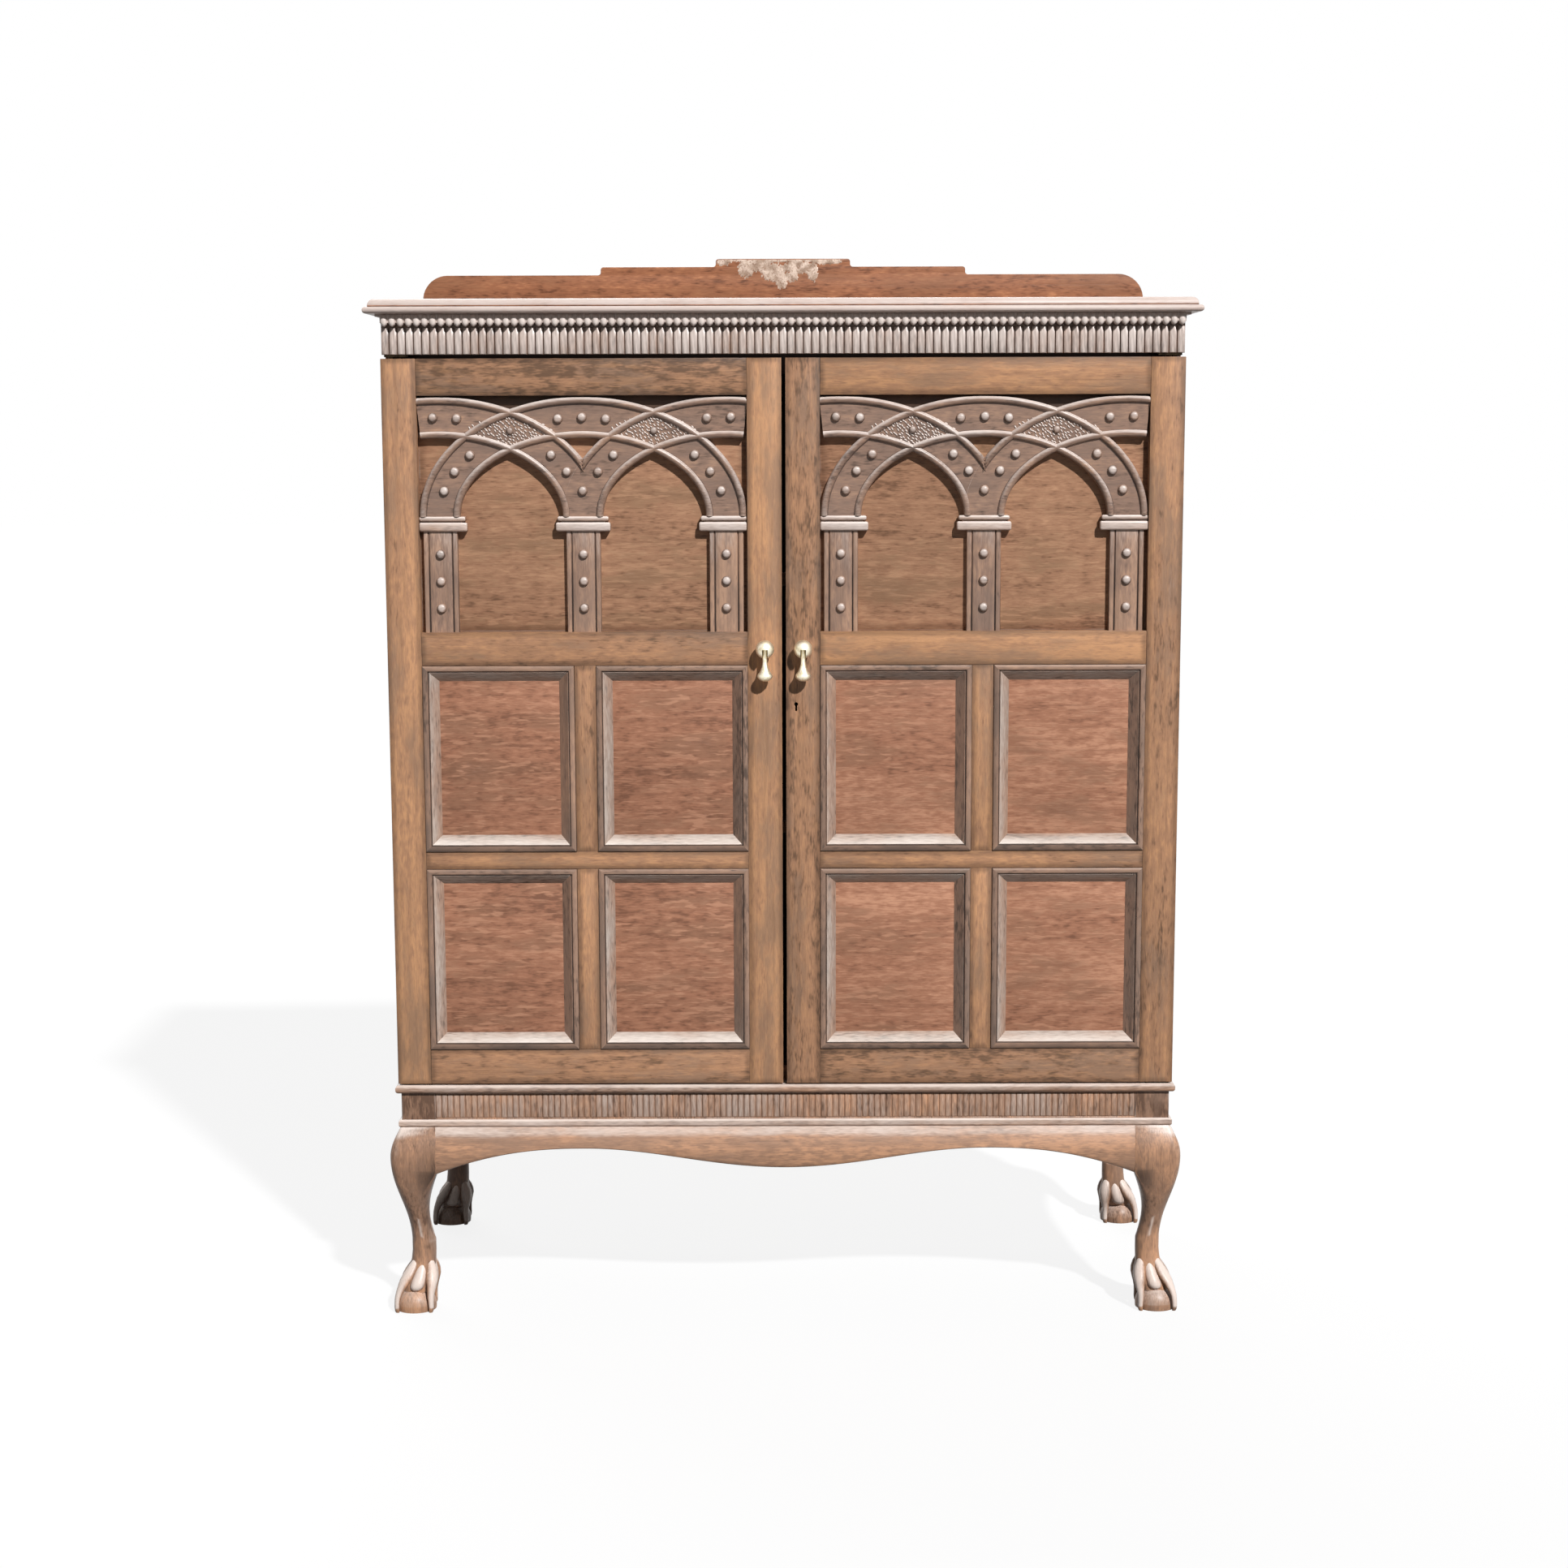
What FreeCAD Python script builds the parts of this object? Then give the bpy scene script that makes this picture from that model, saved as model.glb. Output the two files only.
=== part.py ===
import FreeCAD, Part
import math
import os
import re

import Sketcher
from FreeCAD import Placement, Rotation, Vector

# A carved two-door wine cabinet on a stand with four cabriole legs.
# Millimetres, +Z up, the doors face -Y. The origin lies on the floor in the middle of the outer box.

# Sizes that can be set one by one: name, value, meaning.
SIZES = [
    # case and door pair
    ("case_width", 1014, "over the two sides and over the leg blocks"),
    ("door_pair_width", 1020, "over both closed doors"),
    ("door_height", 941, "one door"),
    ("door_thickness", 25, "one door"),
    ("door_gap", 5, "between the meeting stiles"),
    ("door_back_gap", 1.5, "door back to case front"),
    ("door_foot_gap", 2, "door to base top"),
    ("door_head_gap", 5, "door to frieze"),
    ("door_lap", 20, "doors over the rail behind the frieze"),
    ("side_thickness", 20, "case sides"),
    ("floor_thickness", 20, "case bottom"),
    ("board_thickness", 18, "case top and shelves"),
    ("back_thickness", 8, "back panel"),
    ("back_rebate", 10, "width of the rebate for the back panel"),
    ("front_rail_thickness", 20, "rail behind the frieze"),
    ("shelf_setback", 24, "shelf front behind the case front"),
    ("shelf_end_gap", 0.5, "shelf end to side"),
    ("cleat_width", 14, "shelf cleats"),
    ("cleat_height", 22, "shelf cleats"),
    # frieze and top
    ("frieze_height", 47, "frieze board"),
    ("frieze_overhang", 1.5, "frieze beyond each side"),
    ("frieze_setback", 3, "reed crests behind the door front"),
    ("frieze_reeds", 99, "number of reeds"),
    ("frieze_relief", 2.2, "depth of the reeds"),
    ("frieze_band", 11, "plain band above the reeds"),
    ("strip_height", 10, "plain strip for the lappets"),
    ("strip_relief", 2.5, "thickness of that strip"),
    ("top_overhang", 19, "top beyond the doors, front and sides"),
    ("cove_height", 3.5, "lowest step of the top"),
    ("cove_setback", 14, "lowest step behind the nosing"),
    ("nosing_height", 8.5, "bullnose"),
    ("nosing_round", 4, "bullnose edges"),
    ("ovolo_height", 10, "upper step of the top"),
    ("ovolo_setback", 6, "upper step behind the nosing"),
    ("ovolo_round", 8, "upper edge"),
    ("gallery_length", 1015, "low step"),
    ("gallery_mid_length", 513, "middle step"),
    ("gallery_top_length", 189, "high step"),
    ("gallery_height", 73, "high step above the top"),
    ("gallery_step", 11, "rise of one step"),
    ("gallery_end_round", 35, "shoulder"),
    ("gallery_step_round", 4, "curves of a step"),
    ("gallery_thickness", 20, "gallery board"),
    # base
    ("base_height", 309, "floor to base top"),
    ("base_depth", 432, "over the leg blocks"),
    ("base_setback", 4, "leg blocks behind the door front"),
    ("leg_block", 45, "square leg block"),
    ("base_top_thickness", 11, "base top moulding"),
    ("base_top_projection", 7, "base top moulding beyond the leg blocks"),
    ("base_top_width", 62, "base top moulding"),
    ("base_top_round", 4.5, "edges of the base top moulding"),
    ("base_frieze_height", 36, "reeded face of the front rail"),
    ("base_reeds", 118, "number of reeds"),
    ("base_reed_relief", 1.5, "depth of the reeds"),
    ("base_reed_margin", 3, "plain strip above and below the reeds"),
    ("base_rail_thickness", 22, "base rails"),
    ("waist_height", 10, "waist moulding"),
    ("waist_projection", 4, "waist moulding beyond the leg blocks"),
    ("waist_round", 3, "edges of the waist moulding"),
    ("apron_thickness", 24, "apron back behind the leg block face"),
    ("apron_centre_drop", 53, "front apron at its middle, below the waist"),
    ("apron_crest_drop", 27, "front apron at its highest points"),
    ("apron_end_drop", 62, "aprons at the legs"),
    ("apron_crest_reach", 265, "middle of the front apron to its highest point"),
    # legs
    ("knee_lip", 2, "leg beyond its block just under the waist"),
    ("knee_swell", 16, "knee beyond the block"),
    ("knee_drop", 40, "knee below the waist"),
    ("knee_chamfer", 10, "arris of the knee"),
    ("calf_hollow", 6, "hollow of the leg's inner side"),
    ("ankle_height", 92, "ankle above the floor"),
    ("ankle_inset", 7, "ankle inside the block face"),
    ("ankle_width", 37, "ankle"),
    ("toe_start", 68, "start of the toes above the floor"),
    ("turned_sides", 12, "flats round a turned form"),
    ("ball_radius", 26, "ball of the foot"),
    ("ball_height", 24, "centre of the ball above the floor"),
    ("ball_inset", 9.5, "centre of the ball inside the block face"),
    ("toe_reach", 26, "toe middle line from the ball centre"),
    ("toe_width", 12, "toe at the knuckle"),
    ("toe_clear", 2, "claw tip above the floor"),
    # pivot hinges
    ("stile_round", 12, "rounded back edge of the hinge stile"),
    ("pivot_radius", 4, "pivot pin"),
    ("pivot_clearance", 0.08, "pin to socket"),
    ("pivot_length", 8, "pin beyond the door"),
    ("pivot_plate_length", 30, "pivot plates"),
    ("pivot_plate_tail", 8, "plate outside the pin"),
    ("pivot_plate_width", 16, "pivot plates"),
    ("pivot_plate_thickness", 3, "pivot plates"),
    ("pivot_well", 5, "depth of the hole beyond a socket plate"),
    ("pivot_well_clearance", 0.5, "pin to that hole"),
    # door frame and panels
    ("stile_width", 44, "stiles"),
    ("top_rail_height", 46.5, "top rail"),
    ("arcade_height", 300, "arcade opening"),
    ("lock_rail_height", 43, "lock rail"),
    ("upper_panel_height", 242, "upper pair of panels"),
    ("cross_rail_height", 23, "cross rail"),
    ("bottom_rail_height", 46.5, "bottom rail"),
    ("muntin_width", 28, "muntins"),
    ("panel_recess", 12, "panel face behind the door front"),
    ("panel_thickness", 8, "flat panels"),
    ("moulding_width", 20.5, "panel moulding"),
    ("moulding_lip", 7.5, "flat lip of the panel moulding"),
    ("moulding_proud", 2.5, "lip in front of the door"),
    # arcade
    ("arcade_recess", 14, "arcade panel behind the door front"),
    ("arcade_pitch", 183, "pilaster to pilaster"),
    ("spring_height", 147.5, "lock rail to springing line"),
    ("arch_rise", 125, "springing line to the crown of the middle line"),
    ("arch_band", 52, "width of an arch"),
    ("arch_relief", 9, "arches and pilasters in front of the panel"),
    ("bead_width", 9, "raised edges of an arch"),
    ("bead_relief", 3.5, "raised edges in front of the arch"),
    ("pilaster_width", 44, "pilasters"),
    ("capital_width", 70, "capitals"),
    ("capital_height", 10, "lower bead of a capital"),
    ("capital_relief", 13, "lower bead in front of the panel"),
    ("capital_round", 3, "edges of the lower bead"),
    ("collar_gap", 4, "groove of a capital"),
    ("collar_height", 5, "upper bead of a capital"),
    ("collar_relief", 11.5, "upper bead in front of the panel"),
    ("stud_diameter", 13, "studs"),
    ("stud_height", 5.5, "studs"),
    ("stud_taper", 0.55, "front width of a stud against its foot"),
    ("cross_stud_diameter", 10, "studs where two arches cross"),
    ("arch_stud_low", 15, "degrees from the springing line, lowest stud"),
    ("arch_stud_middle", 27, "degrees, middle stud"),
    ("arch_stud_high", 38.5, "degrees, highest stud"),
    ("crown_stud_pitch", 30.5, "between crown studs"),
    ("crown_stud_shift", 8.75, "pair over a side pilaster, towards the door middle"),
    ("pilaster_stud_drop", 48, "springing line to the first stud of a pilaster"),
    ("pilaster_stud_pitch", 34.5, "between studs of a pilaster"),
    # pulls
    ("boss_standoff", 15, "ball centre in front of the door"),
    ("boss_radius", 12, "ball"),
    ("boss_neck_radius", 5, "stem"),
    ("boss_front_flat", 3, "flat at the front of the ball"),
    ("pull_pin_radius", 1.5, "cross pin"),
    ("pull_pin_length", 18, "cross pin"),
    ("pull_slot_width", 8, "slot in the ball"),
    ("pull_side_clearance", 0.3, "drop to slot"),
    ("pull_hollow", 6.8, "hollow in front of the cross pin, for the lifted drop"),
    ("drop_eye_radius", 5, "eye of the drop"),
    ("drop_neck_radius", 3, "neck of the drop"),
    ("drop_neck_length", 15, "pivot to the start of the bell"),
    ("drop_bell_radius", 10, "bell"),
    ("drop_rim_height", 3, "rim of the bell"),
    ("drop_foot_height", 4, "rounded end under the rim"),
    ("drop_foot_radius", 5, "flat end of the drop"),
    ("drop_waist_radius", 4.5, "bell at its slender part"),
    ("drop_waist_drop", 25, "pivot to the slender part"),
    ("drop_length", 41, "pivot to the lower end"),
    # lock
    ("lock_backset", 13, "meeting edge to keyhole"),
    ("lock_drop", 72, "pull to keyhole"),
    ("lock_case_width", 36, "lock case"),
    ("lock_case_height", 56, "lock case"),
    ("lock_case_depth", 9, "lock case"),
    ("lock_case_foot", 20, "keyhole to the lower end of the case"),
    ("bolt_rise", 18, "keyhole to bolt"),
    ("bolt_thickness", 4, "lock bolt"),
    ("bolt_height", 14, "lock bolt"),
    ("bolt_length", 26, "lock bolt"),
    ("bolt_rest", 0.5, "drawn bolt inside the meeting edge"),
    ("bolt_throw", 11, "travel of the lock bolt"),
    ("bolt_clearance", 0.3, "bolt to case"),
    ("strike_clearance", 1, "bolt to its mortise in the other door"),
    ("keyhole_radius", 2.5, "keyhole"),
    ("keyhole_slot", 2.4, "width of the keyhole's slot"),
    ("keyhole_length", 9, "keyhole centre to the end of the slot"),
    # cupboard bolt inside the left door
    ("rod_half", 3.5, "half the width of the square rod"),
    ("rod_length", 52, "rod"),
    ("rod_drop", 4, "drawn rod below the rail"),
    ("rod_throw", 12, "travel of the rod"),
    ("rod_clearance", 0.3, "rod to case"),
    ("rod_hole_clearance", 0.7, "rod to the hole in the rail"),
    ("bolt_case_width", 18, "bolt case"),
    ("bolt_case_depth", 11, "bolt case"),
    ("bolt_case_height", 50, "bolt case"),
    ("bolt_case_drop", 10, "bolt case below the rail"),
    ("knob_half", 2, "half the width of the rod's knob"),
    ("knob_reach", 9, "knob behind the rod"),
    ("knob_height", 14, "knob above the lower end of the rod"),
    # plain overrun of cutting tools
    ("overrun", 5, "cutting tools past the wood"),
]

# Places that follow from the sizes: name, formula, meaning.
PLACES = [
    ("case_half", "case_width / 2", "outer face of a side"),
    ("door_half", "door_pair_width / 2", "outer edge of a door"),
    ("side_inner", "case_half - side_thickness", "inner face of a side"),
    ("meet_x", "door_gap / 2", "meeting edge"),
    ("window_out", "door_half - stile_width", "inner edge of the hinge stile"),
    ("window_in", "meet_x + stile_width", "inner edge of the meeting stile"),
    ("door_mid", "(window_out + window_in) / 2", "middle of a door's openings"),
    ("pivot_x", "door_half - door_thickness / 2", "pivot line"),
    ("pull_x", "meet_x + stile_width / 2", "pull"),
    ("top_half", "door_half + top_overhang", "end of the top"),
    ("pull_reach", "boss_standoff + boss_radius", "pull in front of the door"),
    ("overall_depth", "pull_reach + base_setback + base_depth + knee_swell", "whole object"),
    ("door_front", "pull_reach - overall_depth / 2", "front of the doors"),
    ("door_back", "door_front + door_thickness", "back of the doors"),
    ("pivot_y", "door_front + door_thickness / 2", "pivot line"),
    ("case_front", "door_back + door_back_gap", "front of the case"),
    ("base_front", "door_front + base_setback", "front face of the leg blocks"),
    ("base_back", "base_front + base_depth", "back face of the leg blocks and of the case"),
    ("base_mid", "base_front + base_depth / 2", "middle of the base"),
    ("back_inner", "base_back - back_thickness", "inner face of the back panel"),
    ("top_front", "door_front - top_overhang", "front of the top"),
    ("panel_front", "door_front + panel_recess", "face of the flat panels"),
    ("arcade_front", "door_front + arcade_recess", "face of the arcade panel"),
    ("base_top_under", "base_height - base_top_thickness", "under the base top moulding"),
    ("waist_top", "base_top_under - base_frieze_height", "waist moulding"),
    ("waist_low", "waist_top - waist_height", "waist moulding"),
    ("door_low", "base_height + door_foot_gap", "lower edge of the doors"),
    ("door_top", "door_low + door_height", "upper edge of the doors"),
    ("bottom_rail_top", "door_low + bottom_rail_height", "bottom rail"),
    ("top_rail_low", "door_top - top_rail_height", "top rail"),
    ("lock_rail_top", "top_rail_low - arcade_height", "lock rail"),
    ("lock_rail_low", "lock_rail_top - lock_rail_height", "lock rail"),
    ("cross_rail_top", "lock_rail_low - upper_panel_height", "cross rail"),
    ("cross_rail_low", "cross_rail_top - cross_rail_height", "cross rail"),
    ("spring", "lock_rail_top + spring_height", "springing line of the arches"),
    ("collar_low", "spring - collar_height", "upper bead of the capitals"),
    ("capital_top", "collar_low - collar_gap", "lower bead of the capitals"),
    ("frieze_low", "door_top + door_head_gap", "frieze"),
    ("frieze_top", "frieze_low + frieze_height", "frieze"),
    ("frieze_front", "door_front + frieze_setback", "reed crests"),
    ("nosing_low", "frieze_top + cove_height", "bullnose of the top"),
    ("nosing_top", "nosing_low + nosing_height", "bullnose of the top"),
    ("top_surface", "nosing_top + ovolo_height", "upper face of the top"),
    ("floor_top", "base_height + floor_thickness", "inside of the case bottom"),
    ("case_head", "frieze_top - board_thickness", "inside of the case top"),
    ("bay", "(case_head - floor_top - 2 * board_thickness) / 3", "clear height of a compartment"),
    ("front_rail_low", "door_top - door_lap", "rail behind the frieze"),
    ("apron_half", "case_half - leg_block", "half length of the front apron"),
    ("apron_side_half", "base_depth / 2 - leg_block", "half length of a side apron"),
    ("knee_step", "knee_swell - knee_lip", "swell of the apron"),
    ("apron_curve", "(knee_step ^ 2 + knee_drop ^ 2) / (2 * knee_step)", "radius of the apron's face"),
    ("apron_fall", "apron_end_drop - knee_drop", "apron below the knee line"),
    ("apron_foot", "knee_swell - apron_curve + sqrt(apron_curve ^ 2 - apron_fall ^ 2)", "lower edge"),
    ("apron_dip", "apron_centre_drop - apron_crest_drop", "wave of the front apron"),
    ("apron_wave", "(apron_crest_reach ^ 2 + apron_dip ^ 2) / (4 * apron_dip)", "radius of the wave"),
    ("apron_wave_mid", "(apron_centre_drop + apron_crest_drop) / 2", "where the wave turns"),
    ("apron_end_fall", "apron_end_drop - apron_crest_drop", "ends of the aprons"),
    ("apron_end_run", "apron_half - apron_crest_reach", "ends of the front apron"),
    ("apron_end_curve", "(apron_end_run ^ 2 + apron_end_fall ^ 2) / (2 * apron_end_fall)", "radius"),
    ("apron_side_curve", "(apron_side_half ^ 2 + apron_end_fall ^ 2) / (2 * apron_end_fall)", "radius"),
    ("gallery_low", "gallery_height - 2 * gallery_step", "low step"),
    ("gallery_mid", "gallery_height - gallery_step", "middle step"),
    ("pull_z", "lock_rail_low + lock_rail_height / 2", "pull"),
    ("boss_pivot_y", "door_front - boss_standoff", "cross pin of a pull"),
    ("drop_rim_low", "drop_length - drop_foot_height", "rim of the bell"),
    ("drop_rim_top", "drop_rim_low - drop_rim_height", "rim of the bell"),
    ("keyhole_x", "meet_x + lock_backset", "keyhole"),
    ("keyhole_z", "pull_z - lock_drop", "keyhole"),
    ("lock_case_front", "door_back - lock_case_depth", "lock case"),
    ("lock_case_low", "keyhole_z - lock_case_foot", "lock case"),
    ("bolt_y", "door_back - lock_case_depth / 2", "middle of the lock bolt"),
    ("bolt_z", "keyhole_z + bolt_rise", "middle of the lock bolt"),
    ("rod_y", "door_back + bolt_case_depth / 2", "rod"),
    ("rod_top", "front_rail_low - rod_drop", "upper end of the drawn rod"),
    ("rod_low", "rod_top - rod_length", "lower end of the drawn rod"),
    ("knob_z", "rod_low + knob_height", "knob of the drawn rod"),
    ("bolt_case_top", "front_rail_low - bolt_case_drop", "bolt case"),
]

HOME = {row[0]: "Sizes" for row in SIZES}
HOME.update({row[0]: "Places" for row in PLACES})

doc = FreeCAD.newDocument("wine_cabinet")
nodes = []


def link(text):
    """An expression in plain names with each name joined to its sheet."""
    def home(match):
        word = match.group()
        return f"{HOME[word]}.{word}" if word in HOME else word
    return re.sub(r"[a-z_]+", home, str(text))


def fill(name, rows, lead):
    sheet = doc.addObject("Spreadsheet::Sheet", name)
    for line, (alias, value, meaning) in enumerate(rows, start=1):
        sheet.set(f"A{line}", meaning)
        sheet.set(f"B{line}", f"{lead}{link(value)}")
        sheet.setAlias(f"B{line}", alias)
    return sheet


fill("Sizes", SIZES, "")
fill("Places", PLACES, "=")
trial = doc.addObject("Spreadsheet::Sheet", "Trial")
doc.recompute()


def number(text):
    """The present value of an expression in plain names."""
    trial.set("A1", f"={link(text)}")
    trial.recompute()
    return float(trial.get("A1"))


def bind(thing, **values):
    for field, text in values.items():
        thing.setExpression(field, link(text))
    return thing


def seat(thing, x, y, z, turn=None):
    """Set a thing's turn and bind its place."""
    if turn:
        thing.Placement = Placement(Vector(), turn)
    for axis, text in zip("xyz", (x, y, z)):
        thing.setExpression(f"Placement.Base.{axis}", link(text))
    return thing


def node(thing):
    """Note a thing as one named sub-part; its label names its file."""
    nodes.append(thing)
    return thing


def box(name, x, y, z):
    """A board between two places on each axis."""
    made = doc.addObject("Part::Box", name)
    spans = [f"({high}) - ({low})" for low, high in (x, y, z)]
    bind(made, Length=spans[0], Width=spans[1], Height=spans[2])
    return seat(made, x[0], y[0], z[0])


UP = Rotation()
ALONG_X = Rotation(Vector(0, 1, 0), 90)
ALONG_Y = Rotation(Vector(1, 0, 0), -90)
UPRIGHT = Rotation(Vector(1, 0, 0), 90)


def rod(name, radius, start, length, turn=UP):
    """A cylinder from its start place along the turned Z axis."""
    made = doc.addObject("Part::Cylinder", name)
    bind(made, Radius=radius, Height=length)
    return seat(made, *start, turn)


def group(name, things):
    made = doc.addObject("Part::Compound", name)
    made.Links = things
    return made


def fuse(name, things):
    made = doc.addObject("Part::MultiFuse", name)
    made.Shapes = things
    return made


def cut(name, base, tools):
    made = doc.addObject("Part::Cut", name)
    made.Base = base
    made.Tool = tools[0] if len(tools) == 1 else group(f"{name}_tools", tools)
    return made


def mirror(name, source, normal=Vector(1, 0, 0)):
    made = doc.addObject("Part::Mirroring", name)
    made.Source = source
    made.Normal = normal
    return made


def solid(name, shape):
    """A piece whose carved shape is worked out in code from the sheet."""
    made = doc.addObject("Part::Feature", name)
    made.Shape = shape
    return made


def rounded(name, base, radius, wanted, kind="Part::Fillet"):
    """Round or chamfer those edges of a base for which wanted(box of the edge) is true."""
    base.recompute()
    size = number(radius)
    made = doc.addObject(kind, name)
    made.Base = base
    made.Edges = [
        (place, size, size)
        for place, edge in enumerate(base.Shape.Edges, start=1)
        if wanted(edge.BoundBox)
    ]
    return made


def near(one, other):
    return abs(one - other) < 0.01


def plane_of(body, role):
    return next(part for part in body.Origin.OriginFeatures if part.Role == role)


def outline(body, name, role, corners, bends):
    """A closed sketch; bends gives the radius and side of the arc that leaves a corner."""
    sketch = body.newObject("Sketcher::SketchObject", name)
    sketch.AttachmentSupport = [(plane_of(body, role), "")]
    sketch.MapMode = "FlatFace"
    spots = [Vector(number(x), number(y), 0) for x, y in corners]
    for place, spot in enumerate(spots):
        after = spots[(place + 1) % len(spots)]
        if place in bends:
            radius, side = number(bends[place][0]), bends[place][1]
            chord = after - spot
            rise = radius - math.sqrt(radius ** 2 - chord.Length ** 2 / 4)
            over = Vector(chord.y, -chord.x, 0).normalize() * (rise * side)
            sketch.addGeometry(Part.Arc(spot, spot + chord / 2 + over, after), False)
        else:
            sketch.addGeometry(Part.LineSegment(spot, after), False)

    def end_at(edge, spot):
        return 1 if sketch.getPoint(edge, 1).distanceToPoint(spot) < 0.001 else 2

    rules = []
    names = []
    for place, spot in enumerate(spots):
        before = place - 1 if place else len(spots) - 1
        here = end_at(place, spot)
        rules.append(Sketcher.Constraint("Coincident", before, end_at(before, spot), place, here))
        names.append(None)
        for letter, kind, value in (("x", "DistanceX", spot.x), ("y", "DistanceY", spot.y)):
            rules.append(Sketcher.Constraint(kind, -1, 1, place, here, value))
            names.append((f"{letter}_at_{place}", corners[place]["xy".index(letter)]))
        if place in bends:
            rules.append(Sketcher.Constraint("Radius", place, number(bends[place][0])))
            names.append((f"bend_{place}", bends[place][0]))
    sketch.addConstraint(rules)
    for place, entry in enumerate(names):
        if entry:
            sketch.renameConstraint(place, entry[0])
            sketch.setExpression(f"Constraints.{entry[0]}", link(entry[1]))
    return sketch


def padded(name, role, corners, bends, length):
    """A board sawn to an outline."""
    body = doc.addObject("PartDesign::Body", name)
    sketch = outline(body, f"{name}_outline", role, corners, bends)
    pad = body.newObject("PartDesign::Pad", f"{name}_pad")
    pad.Profile = sketch
    bind(pad, Length=length)
    return body


def skin(rings):
    """A closed solid of flat triangles over a stack of rings, each a list of corners."""
    corners = [rings[0][::-1], rings[-1]]
    for low, high in zip(rings, rings[1:]):
        for place in range(len(low)):
            corners.append([low[place - 1], low[place], high[place]])
            corners.append([low[place - 1], high[place], high[place - 1]])
    faces = [Part.Face(Part.makePolygon(spots + spots[:1])) for spots in corners]
    return Part.Solid(Part.Shell(faces))


def spun(profile, place, turn=UP):
    """A turned form in flats, from pairs of radius and height along its axis."""
    sides = int(number("turned_sides"))
    angles = [2 * math.pi * step / sides for step in range(sides)]
    rings = []
    for radius, height in profile:
        rings.append([Vector(radius * math.cos(angle), radius * math.sin(angle), height) for angle in angles])
    made = skin(rings)
    made.Placement = FreeCAD.Placement(place, turn)
    return made


def across(name):
    """The span of a name to both sides of the middle plane."""
    return (f"-({name})", name)


def eased(pair, amount):
    """A span made longer at both ends."""
    return (f"{pair[0]} - {amount}", f"{pair[1]} + {amount}")


def square_bar(name, half, x, y, rise):
    """An upright bar of square section around the line x, y."""
    return box(name, eased((x, x), half), eased((y, y), half), rise)


# Case.
for side, sign in (("left", "-"), ("right", "")):
    span = ["side_inner", "case_half"]
    rebate = ["side_inner - overrun", "side_inner + back_rebate"]
    if sign:
        span = [f"-({place})" for place in reversed(span)]
        rebate = [f"-({place})" for place in reversed(rebate)]
    board = box(f"{side}_side_board", span, ("case_front", "base_back"), ("base_height", "frieze_top"))
    groove = box(
        f"{side}_side_rebate",
        rebate,
        ("back_inner", "base_back + overrun"),
        ("base_height - overrun", "frieze_top + overrun"),
    )
    node(cut(f"{side}_side", board, [groove]))
node(box(
    "back_panel",
    across("side_inner + back_rebate"),
    ("back_inner", "base_back"),
    ("base_height", "frieze_top"),
))
node(box("carcass_bottom", across("side_inner"), ("case_front", "back_inner"), ("base_height", "floor_top")))
node(box(
    "carcass_top",
    across("side_inner"),
    ("case_front + front_rail_thickness", "back_inner"),
    ("case_head", "frieze_top"),
))
front_rail_board = box(
    "front_rail_board",
    across("side_inner"),
    ("case_front", "case_front + front_rail_thickness"),
    ("front_rail_low", "frieze_top"),
)
rod_hole = square_bar(
    "rod_hole",
    "(rod_half + rod_hole_clearance)",
    "-pull_x",
    "rod_y",
    ("front_rail_low - overrun", "front_rail_low + rod_throw"),
)
node(cut("front_top_rail", front_rail_board, [rod_hole]))

cleats = []
for place, name in enumerate(("lower_shelf", "upper_shelf")):
    low = f"floor_top + bay + {place} * (bay + board_thickness)"
    node(box(
        name,
        across("side_inner - shelf_end_gap"),
        ("case_front + shelf_setback", "back_inner"),
        (low, f"{low} + board_thickness"),
    ))
    for side, span in (
        ("left", ("-side_inner", "cleat_width - side_inner")),
        ("right", ("side_inner - cleat_width", "side_inner")),
    ):
        depth = ("case_front + shelf_setback", "back_inner")
        cleats.append(box(f"{name}_{side}_cleat", span, depth, (f"{low} - cleat_height", low)))
node(group("shelf_cleats", cleats))


def reeded_board(half, front, back, low, high, reed_low, reed_high, count, relief):
    """A board with upright reeds, cut in two flats, on part of its face; the rest is plain."""
    pitch = 2 * half / count
    valley = front + relief
    spots = [Vector(-half, back, reed_low), Vector(half, back, reed_low), Vector(half, valley, reed_low)]
    for place in range(count):
        start = half - place * pitch
        spots.append(Vector(start - pitch / 2, front, reed_low))
        spots.append(Vector(start - pitch, valley, reed_low))
    board = Part.Face(Part.makePolygon(spots + spots[:1])).extrude(Vector(0, 0, reed_high - reed_low))
    for bottom, top in ((low, reed_low), (reed_high, high)):
        if top > bottom:
            plain = Part.makeBox(2 * half, back - front, top - bottom, Vector(-half, front, bottom))
            board = board.fuse(plain)
    return board


# Frieze and top.
frieze_board = solid("frieze_board", reeded_board(
    half=number("case_half + frieze_overhang"),
    front=number("frieze_front"),
    back=number("case_front"),
    low=number("frieze_low"),
    high=number("frieze_top"),
    reed_low=number("frieze_low"),
    reed_high=number("frieze_top - frieze_band"),
    count=int(number("frieze_reeds")),
    relief=number("frieze_relief"),
))
frieze_wells = [
    rod(
        f"frieze_well_{side}",
        "pivot_radius + pivot_well_clearance",
        (f"{sign} * pivot_x", "pivot_y", "frieze_low - overrun"),
        "overrun + pivot_well",
    )
    for side, sign in (("left", -1), ("right", 1))
]
node(cut("frieze_front", frieze_board, frieze_wells))


node(box(
    "frieze_strip",
    across("case_half + frieze_overhang"),
    ("frieze_front - strip_relief", "frieze_front"),
    ("frieze_top - strip_height", "frieze_top"),
))

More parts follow.
